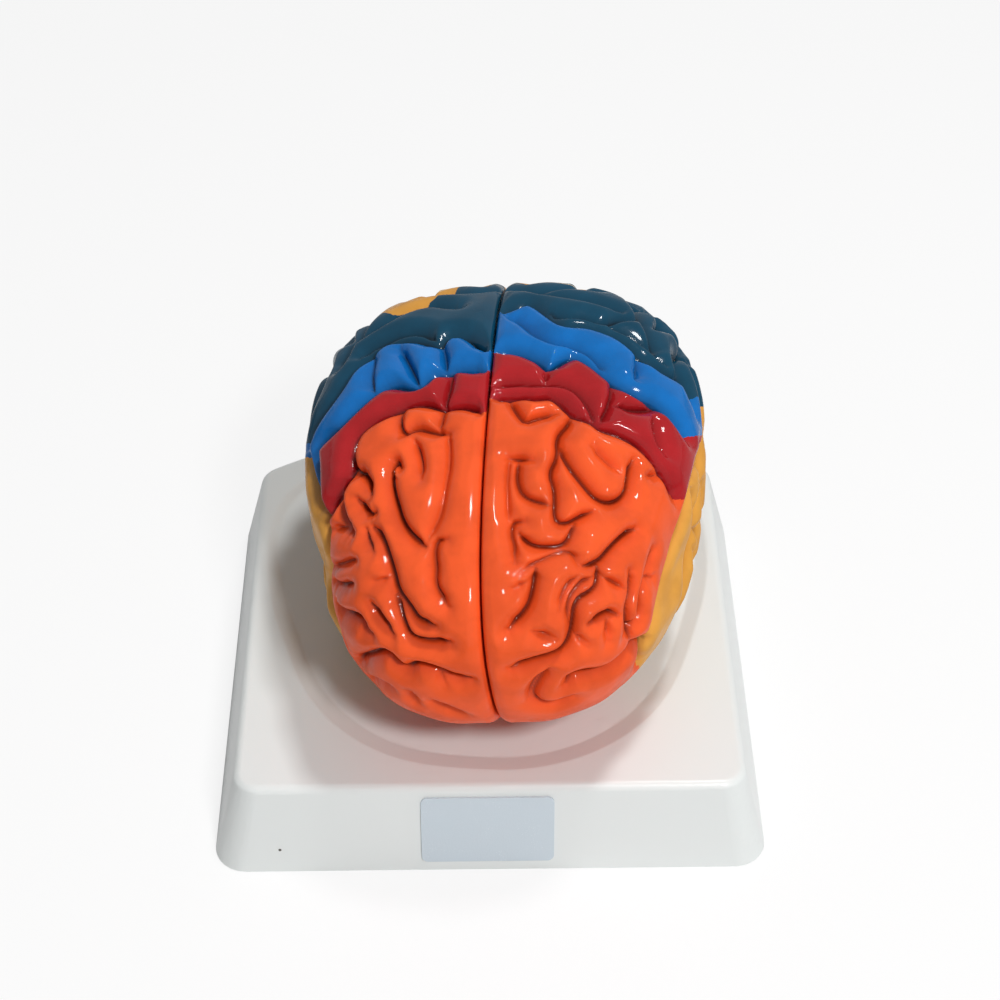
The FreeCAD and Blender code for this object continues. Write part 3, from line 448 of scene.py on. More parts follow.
def evenly_spaced(points, spacing):
    steps = np.linalg.norm(np.diff(points, axis=0), axis=1)
    along = np.concatenate([[0], np.cumsum(steps)])
    count = max(2, int(along[-1] / spacing) + 1)
    wanted = np.linspace(0, along[-1], count)
    return np.stack([np.interp(wanted, along, points[:, k]) for k in range(2)], axis=1)


# Lift a sketched line on to the cerebrum along the sight line of its sketch
def lifted(line, sketch):
    flat = evenly_spaced(softened(line), SKETCH_SPACING)
    u, w = flat[:, 0], flat[:, 1]
    if sketch == "front":
        start = np.stack([u, (w - FRONT_PLANE) * ROOT, (w + FRONT_PLANE) * ROOT], axis=1)
        sight = np.array([0, ROOT, -ROOT])
    elif sketch == "side":
        start = np.stack([np.full(len(u), SIDE_PLANE), u, w], axis=1)
        sight = np.array([-1.0, 0, 0])
    elif sketch == "back":
        start = np.stack([u, np.full(len(u), BACK_PLANE), w], axis=1)
        sight = np.array([0, -1.0, 0])
    else:
        start = np.stack([u, w, np.full(len(u), UNDER_PLANE)], axis=1)
        sight = np.array([0, 0, 1.0])
    reach = np.arange(1, SIGHT_REACH)
    ladder = start[:, None, :] + sight * reach[None, :, None]
    inside = (cerebrum_level(ladder.reshape(-1, 3)) < 1).reshape(len(start), -1)
    hit = inside.any(axis=1)
    high = reach[inside.argmax(axis=1)].astype(float)
    low = high - 1
    for step in range(SKETCH_HALVINGS):
        middle = (low + high) / 2
        within = cerebrum_level(start + sight * middle[:, None]) < 1
        high = np.where(within, middle, high)
        low = np.where(within, low, middle)
    return unbroken_runs(start + sight * high[:, None], hit)


# Stretches of a lifted line without a miss or a jump
def unbroken_runs(points, hit):
    runs = []
    run = []
    for k in range(len(points)):
        broken = run and np.linalg.norm(points[k] - run[-1]) > SKETCH_BREAK
        if not hit[k] or broken:
            if len(run) > 1:
                runs.append(np.array(run))
            run = []
        if hit[k]:
            run.append(points[k])
    if len(run) > 1:
        runs.append(np.array(run))
    return runs


# All folds of one hemisphere, each as its share of the depth and its points
def folds_of(side):
    families = [(front_left_folds if side < 0 else front_right_folds, "front"), (side_folds, "side")]
    families += [(back_folds, "back"), (under_folds, "under"), (parting_folds, "side")]
    families += [({"temporal border": (0.8, temporal_borders[side])}, "front")]
    found = []
    for family, sketch in families:
        for share, line in family.values():
            for run in lifted(line, sketch):
                found.append((share, run))
    return found


# Depth of the folds below the smooth form, and how close a point lies to a crease
def relief(points, folds):
    settings = form()
    total = np.zeros(len(points))
    crease = np.zeros(len(points))
    for share, line in folds:
        reach = settings.fold_half_width * (NARROWEST_REACH + (1 - NARROWEST_REACH) * share)
        low = line.min(axis=0) - reach
        high = line.max(axis=0) + reach
        near = np.flatnonzero(np.all((points > low) & (points < high), axis=1))
        if not len(near):
            continue
        start = line[:-1]
        run = line[1:] - line[:-1]
        length = np.linalg.norm(run, axis=1)
        along_start = np.concatenate([[0], np.cumsum(length)[:-1]])
        full = length.sum()
        offset = points[near][:, None, :] - start
        t = np.clip((offset * run).sum(axis=2) / (length ** 2), 0, 1)
        distance = np.linalg.norm(offset - t[:, :, None] * run, axis=2)
        best = distance.argmin(axis=1)
        row = np.arange(len(near))
        gap = distance[row, best]
        along = along_start[best] + t[row, best] * length[best]
        ends = np.minimum(along, full - along)
        fade = END_SHARE + (1 - END_SHARE) * smooth(0, END_RUN, ends)
        rounded = np.sqrt(gap ** 2 + CREASE_ROUNDING ** 2) - CREASE_ROUNDING
        u = np.clip(1 - rounded / reach, 0, 1)
        circle = 1 - np.sqrt(np.clip(1 - u * u, 0, 1))
        shape = ROUND_SHARE * circle + (1 - ROUND_SHARE) * u * u
        depth = settings.fold_depth * share ** 0.5 * fade * shape
        total[near] += depth ** 3
        crease[near] = np.maximum(crease[near], np.exp(-(gap / CREASE_WIDTH) ** 2) * share * fade)
    return total ** (1 / 3), crease


# Slight unevenness of the cast skin
def swell(points):
    x, y, z = points[:, 0], points[:, 1], points[:, 2]
    waves = np.sin(x / 4.1 + 1.3 * np.sin(y / 7.3)) * np.sin(y / 4.7 + 1.1 * np.sin(z / 6.1))
    waves = waves + 0.6 * np.sin(z / 3.7 + 1.2 * np.sin(x / 5.9))
    return SWELL * (1 + waves / 1.6)


# Rounded shoulder of each hemisphere along the midline
def fissure_rounding(x):
    t = np.clip(1 - np.abs(x) / FISSURE_SHOULDER, 0, 1)
    return FISSURE_ROUNDING * (1 - np.sqrt(1 - t * t))


def coordinates(mesh):
    flat = np.empty(len(mesh.vertices) * 3)
    mesh.vertices.foreach_get("co", flat)
    return flat.reshape(-1, 3)


def set_coordinates(mesh, points):
    mesh.vertices.foreach_set("co", points.ravel())
    mesh.update()


def add_field(mesh, name, values):
    attribute = mesh.attributes.new(name, "FLOAT", "POINT")
    attribute.data.foreach_set("value", np.asarray(values, np.float32))


# Three empty slots, one for each face group
def add_slots(mesh):
    for group in (SKIN, INSIDE, MIDLINE):
        mesh.materials.append(None)


def new_piece(name, mesh):
    piece = bpy.data.objects.new(name, mesh)
    bpy.context.scene.collection.objects.link(piece)
    return piece


# Half of a cube, finely divided, with its open side closed by one flat face
def half_block(cuts):
    bm = bmesh.new()
    bmesh.ops.create_cube(bm, size=2)
    bmesh.ops.subdivide_edges(bm, edges=bm.edges[:], cuts=cuts, use_grid_fill=True)
    everything = bm.verts[:] + bm.edges[:] + bm.faces[:]
    bmesh.ops.bisect_plane(
        bm, geom=everything, plane_co=(0, 0, 0), plane_no=(1, 0, 0), dist=1e-5, clear_inner=True)
    rim = [e for e in bm.edges if e.is_boundary]
    for face in bmesh.ops.holes_fill(bm, edges=rim, sides=0)["faces"]:
        face.material_index = MIDLINE
    mesh = bpy.data.meshes.new("half_block")
    bm.to_mesh(mesh)
    bm.free()
    return mesh


# Directions from the middle of the block through its points, evenly spread
def block_directions(points, stretch):
    spread = np.tan(points * (math.pi / 4)) * np.array(stretch)
    spread[np.abs(points[:, 0]) < 1e-4, 0] = 0
    return spread / np.linalg.norm(spread, axis=1)[:, None]


# A half made on the right goes to its own side, half the midline gap out
def to_side(mesh, points, side):
    moved = points + np.array([HALF_FISSURE, 0, 0])
    moved[:, 0] *= side
    set_coordinates(mesh, moved)
    if side < 0:
        mesh.flip_normals()


# A flat outline drawn out along X
def slab(outline, near, far, side, name):
    return drawn_out([(side * near, y, z) for y, z in outline], (side * (far - near), 0, 0), name)


# A flat outline of points in space, drawn out along a vector
def drawn_out(outline, along, name):
    bm = bmesh.new()
    face = bm.faces.new([bm.verts.new(point) for point in outline])
    drawn = bmesh.ops.extrude_face_region(bm, geom=[face])["geom"]
    corners = [item for item in drawn if isinstance(item, bmesh.types.BMVert)]
    bmesh.ops.translate(bm, vec=along, verts=corners)
    bmesh.ops.recalc_face_normals(bm, faces=bm.faces[:])
    return tool_from(bm, name)


def rod(centre, axis, radius, length, name):
    bm = bmesh.new()
    turn = Vector((0, 0, 1)).rotation_difference(Vector(axis)).to_matrix().to_4x4()
    place = Matrix.Translation(Vector(centre) + Vector(axis) * length / 2) @ turn
    bmesh.ops.create_cone(
        bm, cap_ends=True, segments=40, radius1=radius, radius2=radius, depth=length, matrix=place)
    return tool_from(bm, name)


# A cutting body, whose faces become inside faces of what it cuts
def tool_from(bm, name):
    for face in bm.faces:
        face.material_index = INSIDE
    mesh = bpy.data.meshes.new(name)
    bm.to_mesh(mesh)
    bm.free()
    add_slots(mesh)
    return new_piece(name, mesh)


def carve(piece, tool, how):
    cut = piece.modifiers.new("carve", "BOOLEAN")
    cut.operation = how
    cut.solver = "MANIFOLD"
    cut.material_mode = "INDEX"
    cut.object = tool
    apply_modifiers(piece)


def apply_modifiers(piece):
    view = bpy.context.evaluated_depsgraph_get()
    done = bpy.data.meshes.new_from_object(piece.evaluated_get(view))
    piece.modifiers.clear()
    old = piece.data
    piece.data = done
    bpy.data.meshes.remove(old)


# A socket for a locating pin
def bore(piece, start, axis, length):
    socket = rod(start, axis, SOCKET_RADIUS, length, "socket")
    carve(piece, socket, "DIFFERENCE")
    discard(socket)


def discard(*tools):
    for tool in tools:
        mesh = tool.data
        bpy.data.objects.remove(tool)
        bpy.data.meshes.remove(mesh)


# A line moved sideways by a distance
def shifted(line, distance):
    points = np.array(line, float)
    ahead = np.vstack([points[1:], points[-1:]])
    behind = np.vstack([points[:1], points[:-1]])
    run = ahead - behind
    length = np.linalg.norm(run, axis=1)[:, None]
    sideways = np.stack([-run[:, 1], run[:, 0]], axis=1) / length
    return [tuple(p) for p in points + sideways * distance]


# The parting line, drawn on past the top and the underside
parting_up = parting_rise + [(82, FAR_UP)]
parting_side = [(-47, FAR_DOWN)] + lateral_fissure + parting_up

# Space in the medial face for the top of the brainstem, as (distance back, height)
stem_bay = [(-10.1, -31), (-10.1, -10), (-9.6, 0), (-4.6, 4.3), (20.6, 4.3), (23.6, 0), (24.1, -10),
            (24.1, -31)]

# Sloping underside of the occipital lobes, as (distance from the midline, height)
tent_outline = [(-2, -26.5), (26, -27.5), (55, -33.5), (55, FAR_DOWN), (-2, FAR_DOWN)]


# Region of the temporal and occipital lobes, grown by a gap
def temporal_region(side, gap):
    closing = [(FAR_BACK, FAR_UP), (FAR_BACK, FAR_DOWN)]
    floor = CORE_FLOOR + gap
    front = TEMPORAL_FRONT - gap
    wall = CORE_BACK - gap
    outer = slab(shifted(parting_side, gap) + closing, CORE_HALF_WIDTH - gap, FAR_SIDE, side, "outer_region")
    rise = shifted(parting_up, gap) + closing
    ahead = [(front, FAR_DOWN), (front, floor), (wall, floor)]
    inner = slab(ahead + rise, BACK_WALL_START - gap, CORE_HALF_WIDTH + OVERLAP, side, "inner_region")
    behind = [(wall, FAR_DOWN), (wall, floor)]
    back = slab(behind + rise, -OVERLAP, BACK_WALL_START + OVERLAP, side, "back_region")
    carve(outer, inner, "UNION")
    carve(outer, back, "UNION")
    discard(inner, back)
    return outer


# Whole hemisphere with its folds, in the brain's own axes and millimetres
def make_hemisphere(side, folds):
    mesh = half_block(form().detail * 2 - 1)
    directions = block_directions(coordinates(mesh), CEREBRUM_SPREAD)
    distance = surface_distance(directions, cerebrum_level)
    on_form = directions * distance[:, None]
    depth = np.maximum(relief(on_form, folds)[0] + swell(on_form), fissure_rounding(on_form[:, 0]))
    to_side(mesh, directions * (distance - depth)[:, None], side)
    add_slots(mesh)
    return new_piece("hemisphere", mesh)


# Distance from a paint border in the front sketch, above 0 behind it
def signed_distance(flat, line):
    points = softened(line)
    closing = [(BORDER_SIDE, points[-1, 1] - 4), (BORDER_SIDE, BORDER_TOP), (BORDER_INNER, BORDER_TOP)]
    closing += [(BORDER_INNER, points[0, 1])]
    ring = np.vstack([points, closing])
    inside = np.zeros(len(flat), bool)
    before = ring[-1]
    for corner in ring:
        crosses = (corner[1] > flat[:, 1]) != (before[1] > flat[:, 1])
        rise = before[1] - corner[1]
        if rise != 0:
            at = corner[0] + (flat[:, 1] - corner[1]) / rise * (before[0] - corner[0])
            inside ^= crosses & (flat[:, 0] < at)
        before = corner
    nearest = np.full(len(flat), 1e9)
    for start, end in zip(points[:-1], points[1:]):
        run = end - start
        t = np.clip(((flat - start) @ run) / (run @ run + 1e-12), 0, 1)
        gap = np.linalg.norm(flat - start - t[:, None] * run, axis=1)
        nearest = np.minimum(nearest, gap)
    return np.where(inside, nearest, -nearest)


# Colour borders, and the creases and fold depths that carry painted shade, as fields on the points of a
# finished piece
def add_paint_fields(mesh, side, folds, lower):
    points = coordinates(mesh)
    points[:, 0] = np.maximum(np.abs(points[:, 0]) - HALF_FISSURE, 0)
    length = np.linalg.norm(points, axis=1)
    directions = points / np.maximum(length, 1e-6)[:, None]
    distance = surface_distance(directions, cerebrum_level)
    on_form = directions * distance[:, None]
    flat = np.stack([on_form[:, 0], (on_form[:, 1] + on_form[:, 2]) * ROOT], axis=1)
    lines = front_left_folds if side < 0 else front_right_folds
    for name in ("precentral", "central", "postcentral"):
        add_field(mesh, "past_" + name, signed_distance(flat, lines[name][1]))
    # The crease and sunk fields drive the painted shade in the folds
    depth, crease = relief(on_form, folds)
    add_field(mesh, "crease", crease)
    add_field(mesh, "sunk", depth / form().fold_depth)
    add_field(mesh, "ochre", ochre_field(on_form, flat, side, lower))


# Distance into the ochre paint, from its borders over the top and on the side
def ochre_field(on_form, flat, side, lower):
    across, back = zip(*parietal_backs[side])
    over_top = on_form[:, 1] - np.interp(on_form[:, 0], across, back)
    if lower:
        rim_back, rim_up = zip(*parietal_rim)
        return np.maximum(over_top, np.interp(on_form[:, 1], rim_back, rim_up) - on_form[:, 2])
    out, up = zip(*reversed(softened(temporal_borders[side]).tolist()))
    beyond = flat[:, 0] - np.interp(flat[:, 1], up, out)
    well_outside = -9
    return np.maximum(over_top, np.where(flat[:, 1] < up[-1], beyond, well_outside))


# Smooth skin with clean edges where flat faces meet it
def finish_shading(mesh):
    bm = bmesh.new()
    bm.from_mesh(mesh)
    limit = math.radians(LOBE_SHARP_ANGLE)
    for face in bm.faces:
        face.smooth = True
    for edge in bm.edges:
        kinds = {face.material_index for face in edge.link_faces}
        sharp = len(kinds) > 1
        if kinds != {SKIN} and edge.is_manifold and edge.calc_face_angle(0) > limit:
            sharp = True
        edge.smooth = not sharp
    bm.to_mesh(mesh)
    bm.free()


# Large flat faces keep their own shading and the rounded edges between them blend
def even_shading(piece):
    blend = piece.modifiers.new("even", "WEIGHTED_NORMAL")
    blend.keep_sharp = True
    apply_modifiers(piece)


# From the brain's own axes in millimetres to its place on the stand in metres
def brain_to_stand():
    turn = Euler([math.radians(a) for a in BRAIN_TURN], "XYZ").to_matrix().to_4x4()
    return Matrix.Scale(MM, 4) @ Matrix.Translation(BRAIN_PLACE) @ turn


# Materials, body, node and slot of a finished piece
def dress(piece, node, body, materials):
    for k, material in enumerate(materials):
        if k < len(piece.data.materials):
            piece.data.materials[k] = material
        else:
            piece.data.materials.append(material)
    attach(piece, body)
    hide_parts(node)


# A new material with its node tree and its shader
def new_material(name):
    material = bpy.data.materials.new(name)
    material.use_nodes = True
    tree = material.node_tree
    shader = tree.nodes["Principled BSDF"]
    return material, tree, shader


def link(tree, a, b):
    tree.links.new(a, b)


# Noise on Object coordinates, which are metres in the frame
def noise(tree, scale, detail, coordinate=None):
    node = tree.nodes.new("ShaderNodeTexNoise")
    node.inputs["Scale"].default_value = scale
    node.inputs["Detail"].default_value = detail
    if coordinate is None:
        coordinate = tree.nodes.new("ShaderNodeTexCoord").outputs["Object"]
    link(tree, coordinate, node.inputs["Vector"])
    return node.outputs["Fac"]


# Smooth step of a value between two bounds
def ramp(tree, value, low, high, start=0.0, end=1.0):
    node = tree.nodes.new("ShaderNodeMapRange")
    node.interpolation_type = "SMOOTHSTEP"
    node.inputs["From Min"].default_value = low
    node.inputs["From Max"].default_value = high
    node.inputs["To Min"].default_value = start
    node.inputs["To Max"].default_value = end
    link(tree, value, node.inputs["Value"])
    return node.outputs["Result"]


def maths(tree, how, a, b):
    node = tree.nodes.new("ShaderNodeMath")
    node.operation = how
    for socket, value in zip(node.inputs, (a, b)):
        if isinstance(value, (int, float)):
            socket.default_value = value
        else:
            link(tree, value, socket)
    return node.outputs[0]


# Blend of two colours, each a tuple or a socket; sockets 6 and 7 of the node are its colours
def mixed(tree, factor, a, b, blend="MIX"):
    node = tree.nodes.new("ShaderNodeMix")
    node.data_type = "RGBA"
    node.blend_type = blend
    link(tree, factor, node.inputs[0])
    for socket, value in ((node.inputs[6], a), (node.inputs[7], b)):
        if isinstance(value, (tuple, list)):
            socket.default_value = (*value[:3], 1)
        else:
            link(tree, value, socket)
    return node.outputs[2]


def bump(tree, shader, height, strength, distance):
    node = tree.nodes.new("ShaderNodeBump")
    node.inputs["Strength"].default_value = strength
    node.inputs["Distance"].default_value = distance
    link(tree, height, node.inputs["Height"])
    link(tree, node.outputs["Normal"], shader.inputs["Normal"])


# Value of a field that is stored on the points of the piece
def field(tree, name):
    node = tree.nodes.new("ShaderNodeAttribute")
    node.attribute_name = name
    return node.outputs["Fac"]


# Painted vinyl: colour, painted shade in the creases and the deeper folds, brush wobble and lacquer pimples
def finish_paint(tree, shader, colour, gloss, roughness_low, roughness_high):
    blotch = noise(tree, 90, 3)
    blotched = mixed(tree, ramp(tree, blotch, 0.35, 0.7), colour, BLOTCH_SHADE, "MULTIPLY")
    # Painted shade in the folds: darker along the crease lines and where the folds sink deeper
    crease = field(tree, "crease")
    creased = mixed(tree, ramp(tree, crease, 0.2, 0.9, 0, 0.85), blotched, PAINTED_CREASE_SHADE, "MULTIPLY")
    sunk = ramp(tree, field(tree, "sunk"), 0.2, 0.85, 0, 0.55)
    link(tree, mixed(tree, sunk, creased, PAINTED_SUNK_SHADE, "MULTIPLY"), shader.inputs["Base Color"])
    uneven = ramp(tree, noise(tree, 260, 4), 0.3, 0.7, roughness_low, roughness_high)
    if gloss is not None:
        glossy = maths(tree, "MULTIPLY", gloss, -0.2)
        uneven = maths(tree, "ADD", uneven, glossy)
    uneven = maths(tree, "ADD", uneven, maths(tree, "MULTIPLY", crease, 0.3))
    link(tree, uneven, shader.inputs["Roughness"])
    shader.inputs["Specular IOR Level"].default_value = 0.02
    shader.inputs["Coat Weight"].default_value = 0.12 if gloss is None else 0.24
    shader.inputs["Coat Roughness"].default_value = 0.07
    fine = maths(tree, "MULTIPLY", noise(tree, 900, 3), 0.35)
    broad = noise(tree, 240, 2)
    bump(tree, shader, maths(tree, "ADD", fine, broad), 0.35, 0.00035)


# Slight waver of a hand-painted border, in mm
def border_wobble(tree):
    return maths(tree, "MULTIPLY", maths(tree, "SUBTRACT", noise(tree, 420, 2), 0.5), BORDER_WOBBLE)


# 1 past a painted border and 0 before it
def past_border(tree, name, wobble):
    edge = maths(tree, "ADD", field(tree, name), wobble)
    return ramp(tree, edge, -BORDER_SOFTNESS, BORDER_SOFTNESS)


# Orange, red, blue, teal and ochre paint of an upper piece; all but the orange is glossier
def cerebrum_paint(name):
    c = colours()
    material, tree, shader = new_material(name)
    wobble = border_wobble(tree)
    red = past_border(tree, "past_precentral", wobble)
    blue = past_border(tree, "past_central", wobble)
    teal = past_border(tree, "past_postcentral", wobble)
    ochre = past_border(tree, "ochre", wobble)
    colour = tuple(c.frontal)
    bands = ((red, c.precentral), (blue, c.postcentral), (teal, c.parietal), (ochre, c.temporal))
    for past, next_colour in bands:
        colour = mixed(tree, past, colour, tuple(next_colour))
    finish_paint(tree, shader, colour, red, 0.34, 0.48)
    return material


# Ochre paint of a lower piece, with the teal that reaches over the parting at the back
def temporal_paint(name):
    c = colours()
    material, tree, shader = new_material(name)
    ochre = past_border(tree, "ochre", border_wobble(tree))
    colour = mixed(tree, ochre, tuple(c.parietal), tuple(c.temporal))
    finish_paint(tree, shader, colour, None, 0.28, 0.42)
    return material


def plain_paint(name, colour, low, high):
    material, tree, shader = new_material(name)
    finish_paint(tree, shader, tuple(colour), None, low, high)
    return material


# Cast vinyl on parting faces: cream, dull, slightly mottled
def cast_vinyl(name, colour):
    material, tree, shader = new_material(name)
    blotch = ramp(tree, noise(tree, 120, 4), 0.3, 0.7)
    darker = [v * VINYL_SHADE for v in colour]
    link(tree, mixed(tree, blotch, tuple(colour), darker), shader.inputs["Base Color"])
    link(tree, ramp(tree, noise(tree, 300, 3), 0.3, 0.7, 0.42, 0.6), shader.inputs["Roughness"])
    bump(tree, shader, noise(tree, 700, 4), 0.3, 0.0003)
    return material


# One material for all parting faces, made when it is first asked for
def inside_vinyl():
    made = bpy.data.materials.get("cast_vinyl_inside")
    return made or cast_vinyl("cast_vinyl_inside", colours().inside)


class BrainForm(bpy.types.PropertyGroup):
    """Sizes of the folds and the fineness of the lobes"""

    fold_depth: FloatProperty(
        name="Fold depth", description="Depth of the deepest folds in mm", default=6.5, min=0)
    fold_half_width: FloatProperty(
        name="Fold half width", description="Reach of a fold in mm", default=6.8, min=1)
    detail: IntProperty(
        name="Detail", description="Half the divisions along a side", default=92, min=20, max=110)
    leaf_depth: FloatProperty(
        name="Leaf depth", description="Depth between the leaves of the cerebellum in mm", default=0.9)


def paint(name, description, colour):
    return FloatVectorProperty(name=name, description=description, subtype="COLOR", default=colour)


class BrainColours(bpy.types.PropertyGroup):
    """Paint colours of the lobes and the stand"""

    frontal: paint("Frontal", "Orange of the frontal lobe", (0.88, 0.105, 0.022))
    precentral: paint("Precentral", "Red of the precentral gyrus", (0.42, 0.014, 0.018))
    postcentral: paint("Postcentral", "Blue of the postcentral gyrus", (0.004, 0.155, 0.50))
    parietal: paint("Parietal", "Dark teal of the parietal lobe", (0.004, 0.058, 0.11))
    temporal: paint("Temporal", "Ochre of the temporal and occipital lobes", (0.74, 0.35, 0.06))
    inside: paint("Inside", "Cream of the parting faces", (0.72, 0.58, 0.40))
    stem: paint("Brainstem", "Cream of the brainstem", (0.70, 0.52, 0.33))
    cerebellum: paint("Cerebellum", "Beige of the cerebellum", (0.62, 0.33, 0.20))
    pins: paint("Pins", "Steel of the locating pins", (0.56, 0.57, 0.58))
    stand: paint("Stand", "White of the stand", (0.80, 0.83, 0.82))
    plate: paint("Plate", "Silver blue of the name plate", (0.60, 0.68, 0.74))


class StudioLight(bpy.types.PropertyGroup):
    """Lamps, surrounding light and camera"""

    lens: FloatProperty(
        name="Lens", description="Focal length of the camera", default=77.107, subtype="DISTANCE_CAMERA")
    key: FloatProperty(name="Key", description="Power of the main lamp", default=7.4, unit="POWER")
    fill: FloatProperty(name="Fill", description="Strength of the surrounding light", default=0.19)


class BRAIN_OT_cerebrum(bpy.types.Operator):
    """Both hemispheres, each as an upper and a lower lobe piece"""

    bl_idname = "brain.cerebrum"
    bl_label = "Cerebrum"

    def execute(self, context):
        inside = inside_vinyl()
        lobe_paint = cerebrum_paint("lobe_paint")
        ochre_paint = temporal_paint("ochre_paint")
        for side, word, body in ((-1, "left", "stand"), (1, "right", "right_half")):
            folds = folds_of(side)
            upper = make_hemisphere(side, folds)
            lower = new_piece(word + "_lower_lobes", upper.data.copy())
            upper.name = word + "_upper_lobes"
            self.part(upper, lower, side)
            for y, z in LOBE_SOCKETS:
                bore(lower, (side * LOBE_SOCKET_START, y, z), (side, 0, 0), LOBE_SOCKET_LENGTH)
            if side > 0:
                for y, z in MIDLINE_SOCKETS:
                    bore(upper, (-OVERLAP, y, z), (1, 0, 0), MIDLINE_SOCKET_LENGTH)
            place = brain_to_stand()
            for piece in (upper, lower):
                add_paint_fields(piece.data, side, folds, piece == lower)
                finish_shading(piece.data)
                piece.data.transform(place)
            upper_materials = (lobe_paint, inside, lobe_paint)
            lower_materials = (ochre_paint, inside, ochre_paint)
            dress(upper, word + "_frontoparietal_lobe", body, upper_materials)
            dress(lower, word + "_temporooccipital_lobe", word + "_temporal", lower_materials)
        return {"FINISHED"}

    # The same hemisphere twice, cut to the upper and to the lower piece
    def part(self, upper, lower, side):
        core_outline = [(TEMPORAL_FRONT, FAR_DOWN), (TEMPORAL_FRONT, CORE_FLOOR), (CORE_BACK, CORE_FLOOR)]
        core_outline += [(CORE_BACK, FAR_DOWN)]
        wide = temporal_region(side, LOBE_GAP)
        narrow = temporal_region(side, 0.0)
        core = slab(core_outline, -OVERLAP, CORE_HALF_WIDTH + OVERLAP, side, "core_region")
        bay = slab(stem_bay, -OVERLAP, BAY_HALF_WIDTH, side, "bay")
        tent = drawn_out([(side * x, TENT_FRONT, z) for x, z in tent_outline], (0, TENT_LENGTH, 0), "tent")
        for tool in (wide, core, bay):
            carve(upper, tool, "DIFFERENCE")
        carve(lower, narrow, "INTERSECT")
        carve(lower, tent, "DIFFERENCE")
        discard(wide, narrow, core, bay, tent)


class BRAIN_OT_cerebellum(bpy.types.Operator):
    """Both halves of the cerebellum with their fine leaves"""

    bl_idname = "brain.cerebellum"
    bl_label = "Cerebellum"

    def execute(self, context):
        inside = inside_vinyl()
        beige = plain_paint("cerebellum_paint", colours().cerebellum, 0.34, 0.48)
        hole_x, hole_y, hole_z = CEREBELLUM_SOCKET
        for side, word in ((-1, "left"), (1, "right")):
            mesh = half_block(CEREBELLUM_CUTS)
            directions = block_directions(coordinates(mesh), CEREBELLUM_SPREAD)
            distance = surface_distance(directions, cerebellum_level)
            on_form = directions * distance[:, None]
            leaf = self.leaves(on_form)
            depth = form().leaf_depth * (1 - leaf ** LEAF_SHARPNESS)
            to_side(mesh, directions * (distance - depth)[:, None], side)
            add_slots(mesh)
            piece = new_piece(word + "_cerebellum_leaves", mesh)
            piece.data.transform(Matrix.Translation(CEREBELLUM_PLACE))
            # Painted shade between the leaves: the crease and sunk fields darken the paint in the grooves
            add_field(piece.data, "crease", 1.0 - leaf)
            add_field(piece.data, "sunk", 1.0 - leaf)
            bore(piece, (side * hole_x, hole_y, hole_z), (0, 1, 0), CEREBELLUM_SOCKET_LENGTH)
            stem = node_copy(word + "_brainstem")
            grow(stem, STEM_CLEARANCE)
            carve(piece, stem, "DIFFERENCE")
            discard(stem)
            finish_shading(piece.data)
            piece.data.transform(brain_to_stand())
            materials = (beige, inside, beige)
            dress(piece, word + "_cerebellum", word + "_cerebellum_half", materials)
        return {"FINISHED"}

    # 1 on the crest of a leaf and 0 between two leaves, which curve up towards the sides
    def leaves(self, on_form):
        across = on_form[:, 0] / CEREBELLUM_HALF[0]
        fanned = on_form[:, 2] * (1 + LEAF_FANNING * across ** 2)
        phase = (fanned + LEAF_CURVE * across ** 2) / LEAF_SPACING
        return np.abs(np.sin(phase * math.pi * 0.5))


# Copy of a frame node in the brain's own axes, closed and in millimetres
def node_copy(node):
    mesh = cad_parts[node].data.copy()
    piece = new_piece(node + "_copy", mesh)
    mesh.transform(brain_to_stand().inverted())
    bm = bmesh.new()
    bm.from_mesh(mesh)
    bmesh.ops.remove_doubles(bm, verts=bm.verts[:], dist=MERGE_DISTANCE / MM)
    for face in bm.faces:
        face.material_index = INSIDE
    bm.to_mesh(mesh)
    bm.free()
    mesh.materials.clear()
    add_slots(mesh)
    return piece


# Copy of a frame node in its place: doubles merged, and smooth but for its sharp edges
def smooth_copy(node, name, sharp_angle, flatten):
    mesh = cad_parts[node].data.copy()
    piece = new_piece(name, mesh)
    bm = bmesh.new()
    bm.from_mesh(mesh)
    bmesh.ops.remove_doubles(bm, verts=bm.verts[:], dist=MERGE_DISTANCE)
    if flatten:
        limit = math.radians(FLAT_ANGLE)
        bmesh.ops.dissolve_limit(bm, angle_limit=limit, verts=bm.verts[:], edges=bm.edges[:])
    for face in bm.faces:
        face.smooth = True
        face.material_index = 0
    for edge in bm.edges:
        edge.smooth = edge.calc_face_angle(0) < math.radians(sharp_angle)
    bm.to_mesh(mesh)
    bm.free()
    mesh.materials.clear()
    return piece


# Push a closed body out on all sides
def grow(piece, distance):
    bm = bmesh.new()
    bm.from_mesh(piece.data)
    bm.normal_update()
    for vert in bm.verts:
        vert.co += vert.normal * distance
    bm.to_mesh(piece.data)
    bm.free()


class BRAIN_OT_brainstem(bpy.types.Operator):
    """Both halves of the brainstem, softened"""

    bl_idname = "brain.brainstem"
    bl_label = "Brainstem"

    def execute(self, context):
        material = cast_vinyl("stem_vinyl", colours().stem)
        for word, body in (("left", "stand"), ("right", "right_half")):
            node = word + "_brainstem"
            piece = smooth_copy(node, node + "_cast", STEM_SHARP_ANGLE, flatten=True)
            dress(piece, node, body, (material,))
        return {"FINISHED"}


class BRAIN_OT_pins(bpy.types.Operator):
    """Steel finish of the locating pins"""

    bl_idname = "brain.pins"
    bl_label = "Pins"

    def execute(self, context):
        material, tree, shader = new_material("pin_steel_turned")
        shader.inputs["Base Color"].default_value = (*colours().pins, 1)
        shader.inputs["Metallic"].default_value = 1.0
        link(tree, ramp(tree, noise(tree, 800, 3), 0.3, 0.7, 0.22, 0.38), shader.inputs["Roughness"])
        bump(tree, shader, noise(tree, 2500, 2), 0.2, 0.0001)
        for name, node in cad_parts.items():
            if "pin" in name:
                node.data.materials.clear()
                node.data.materials.append(material)
        return {"FINISHED"}


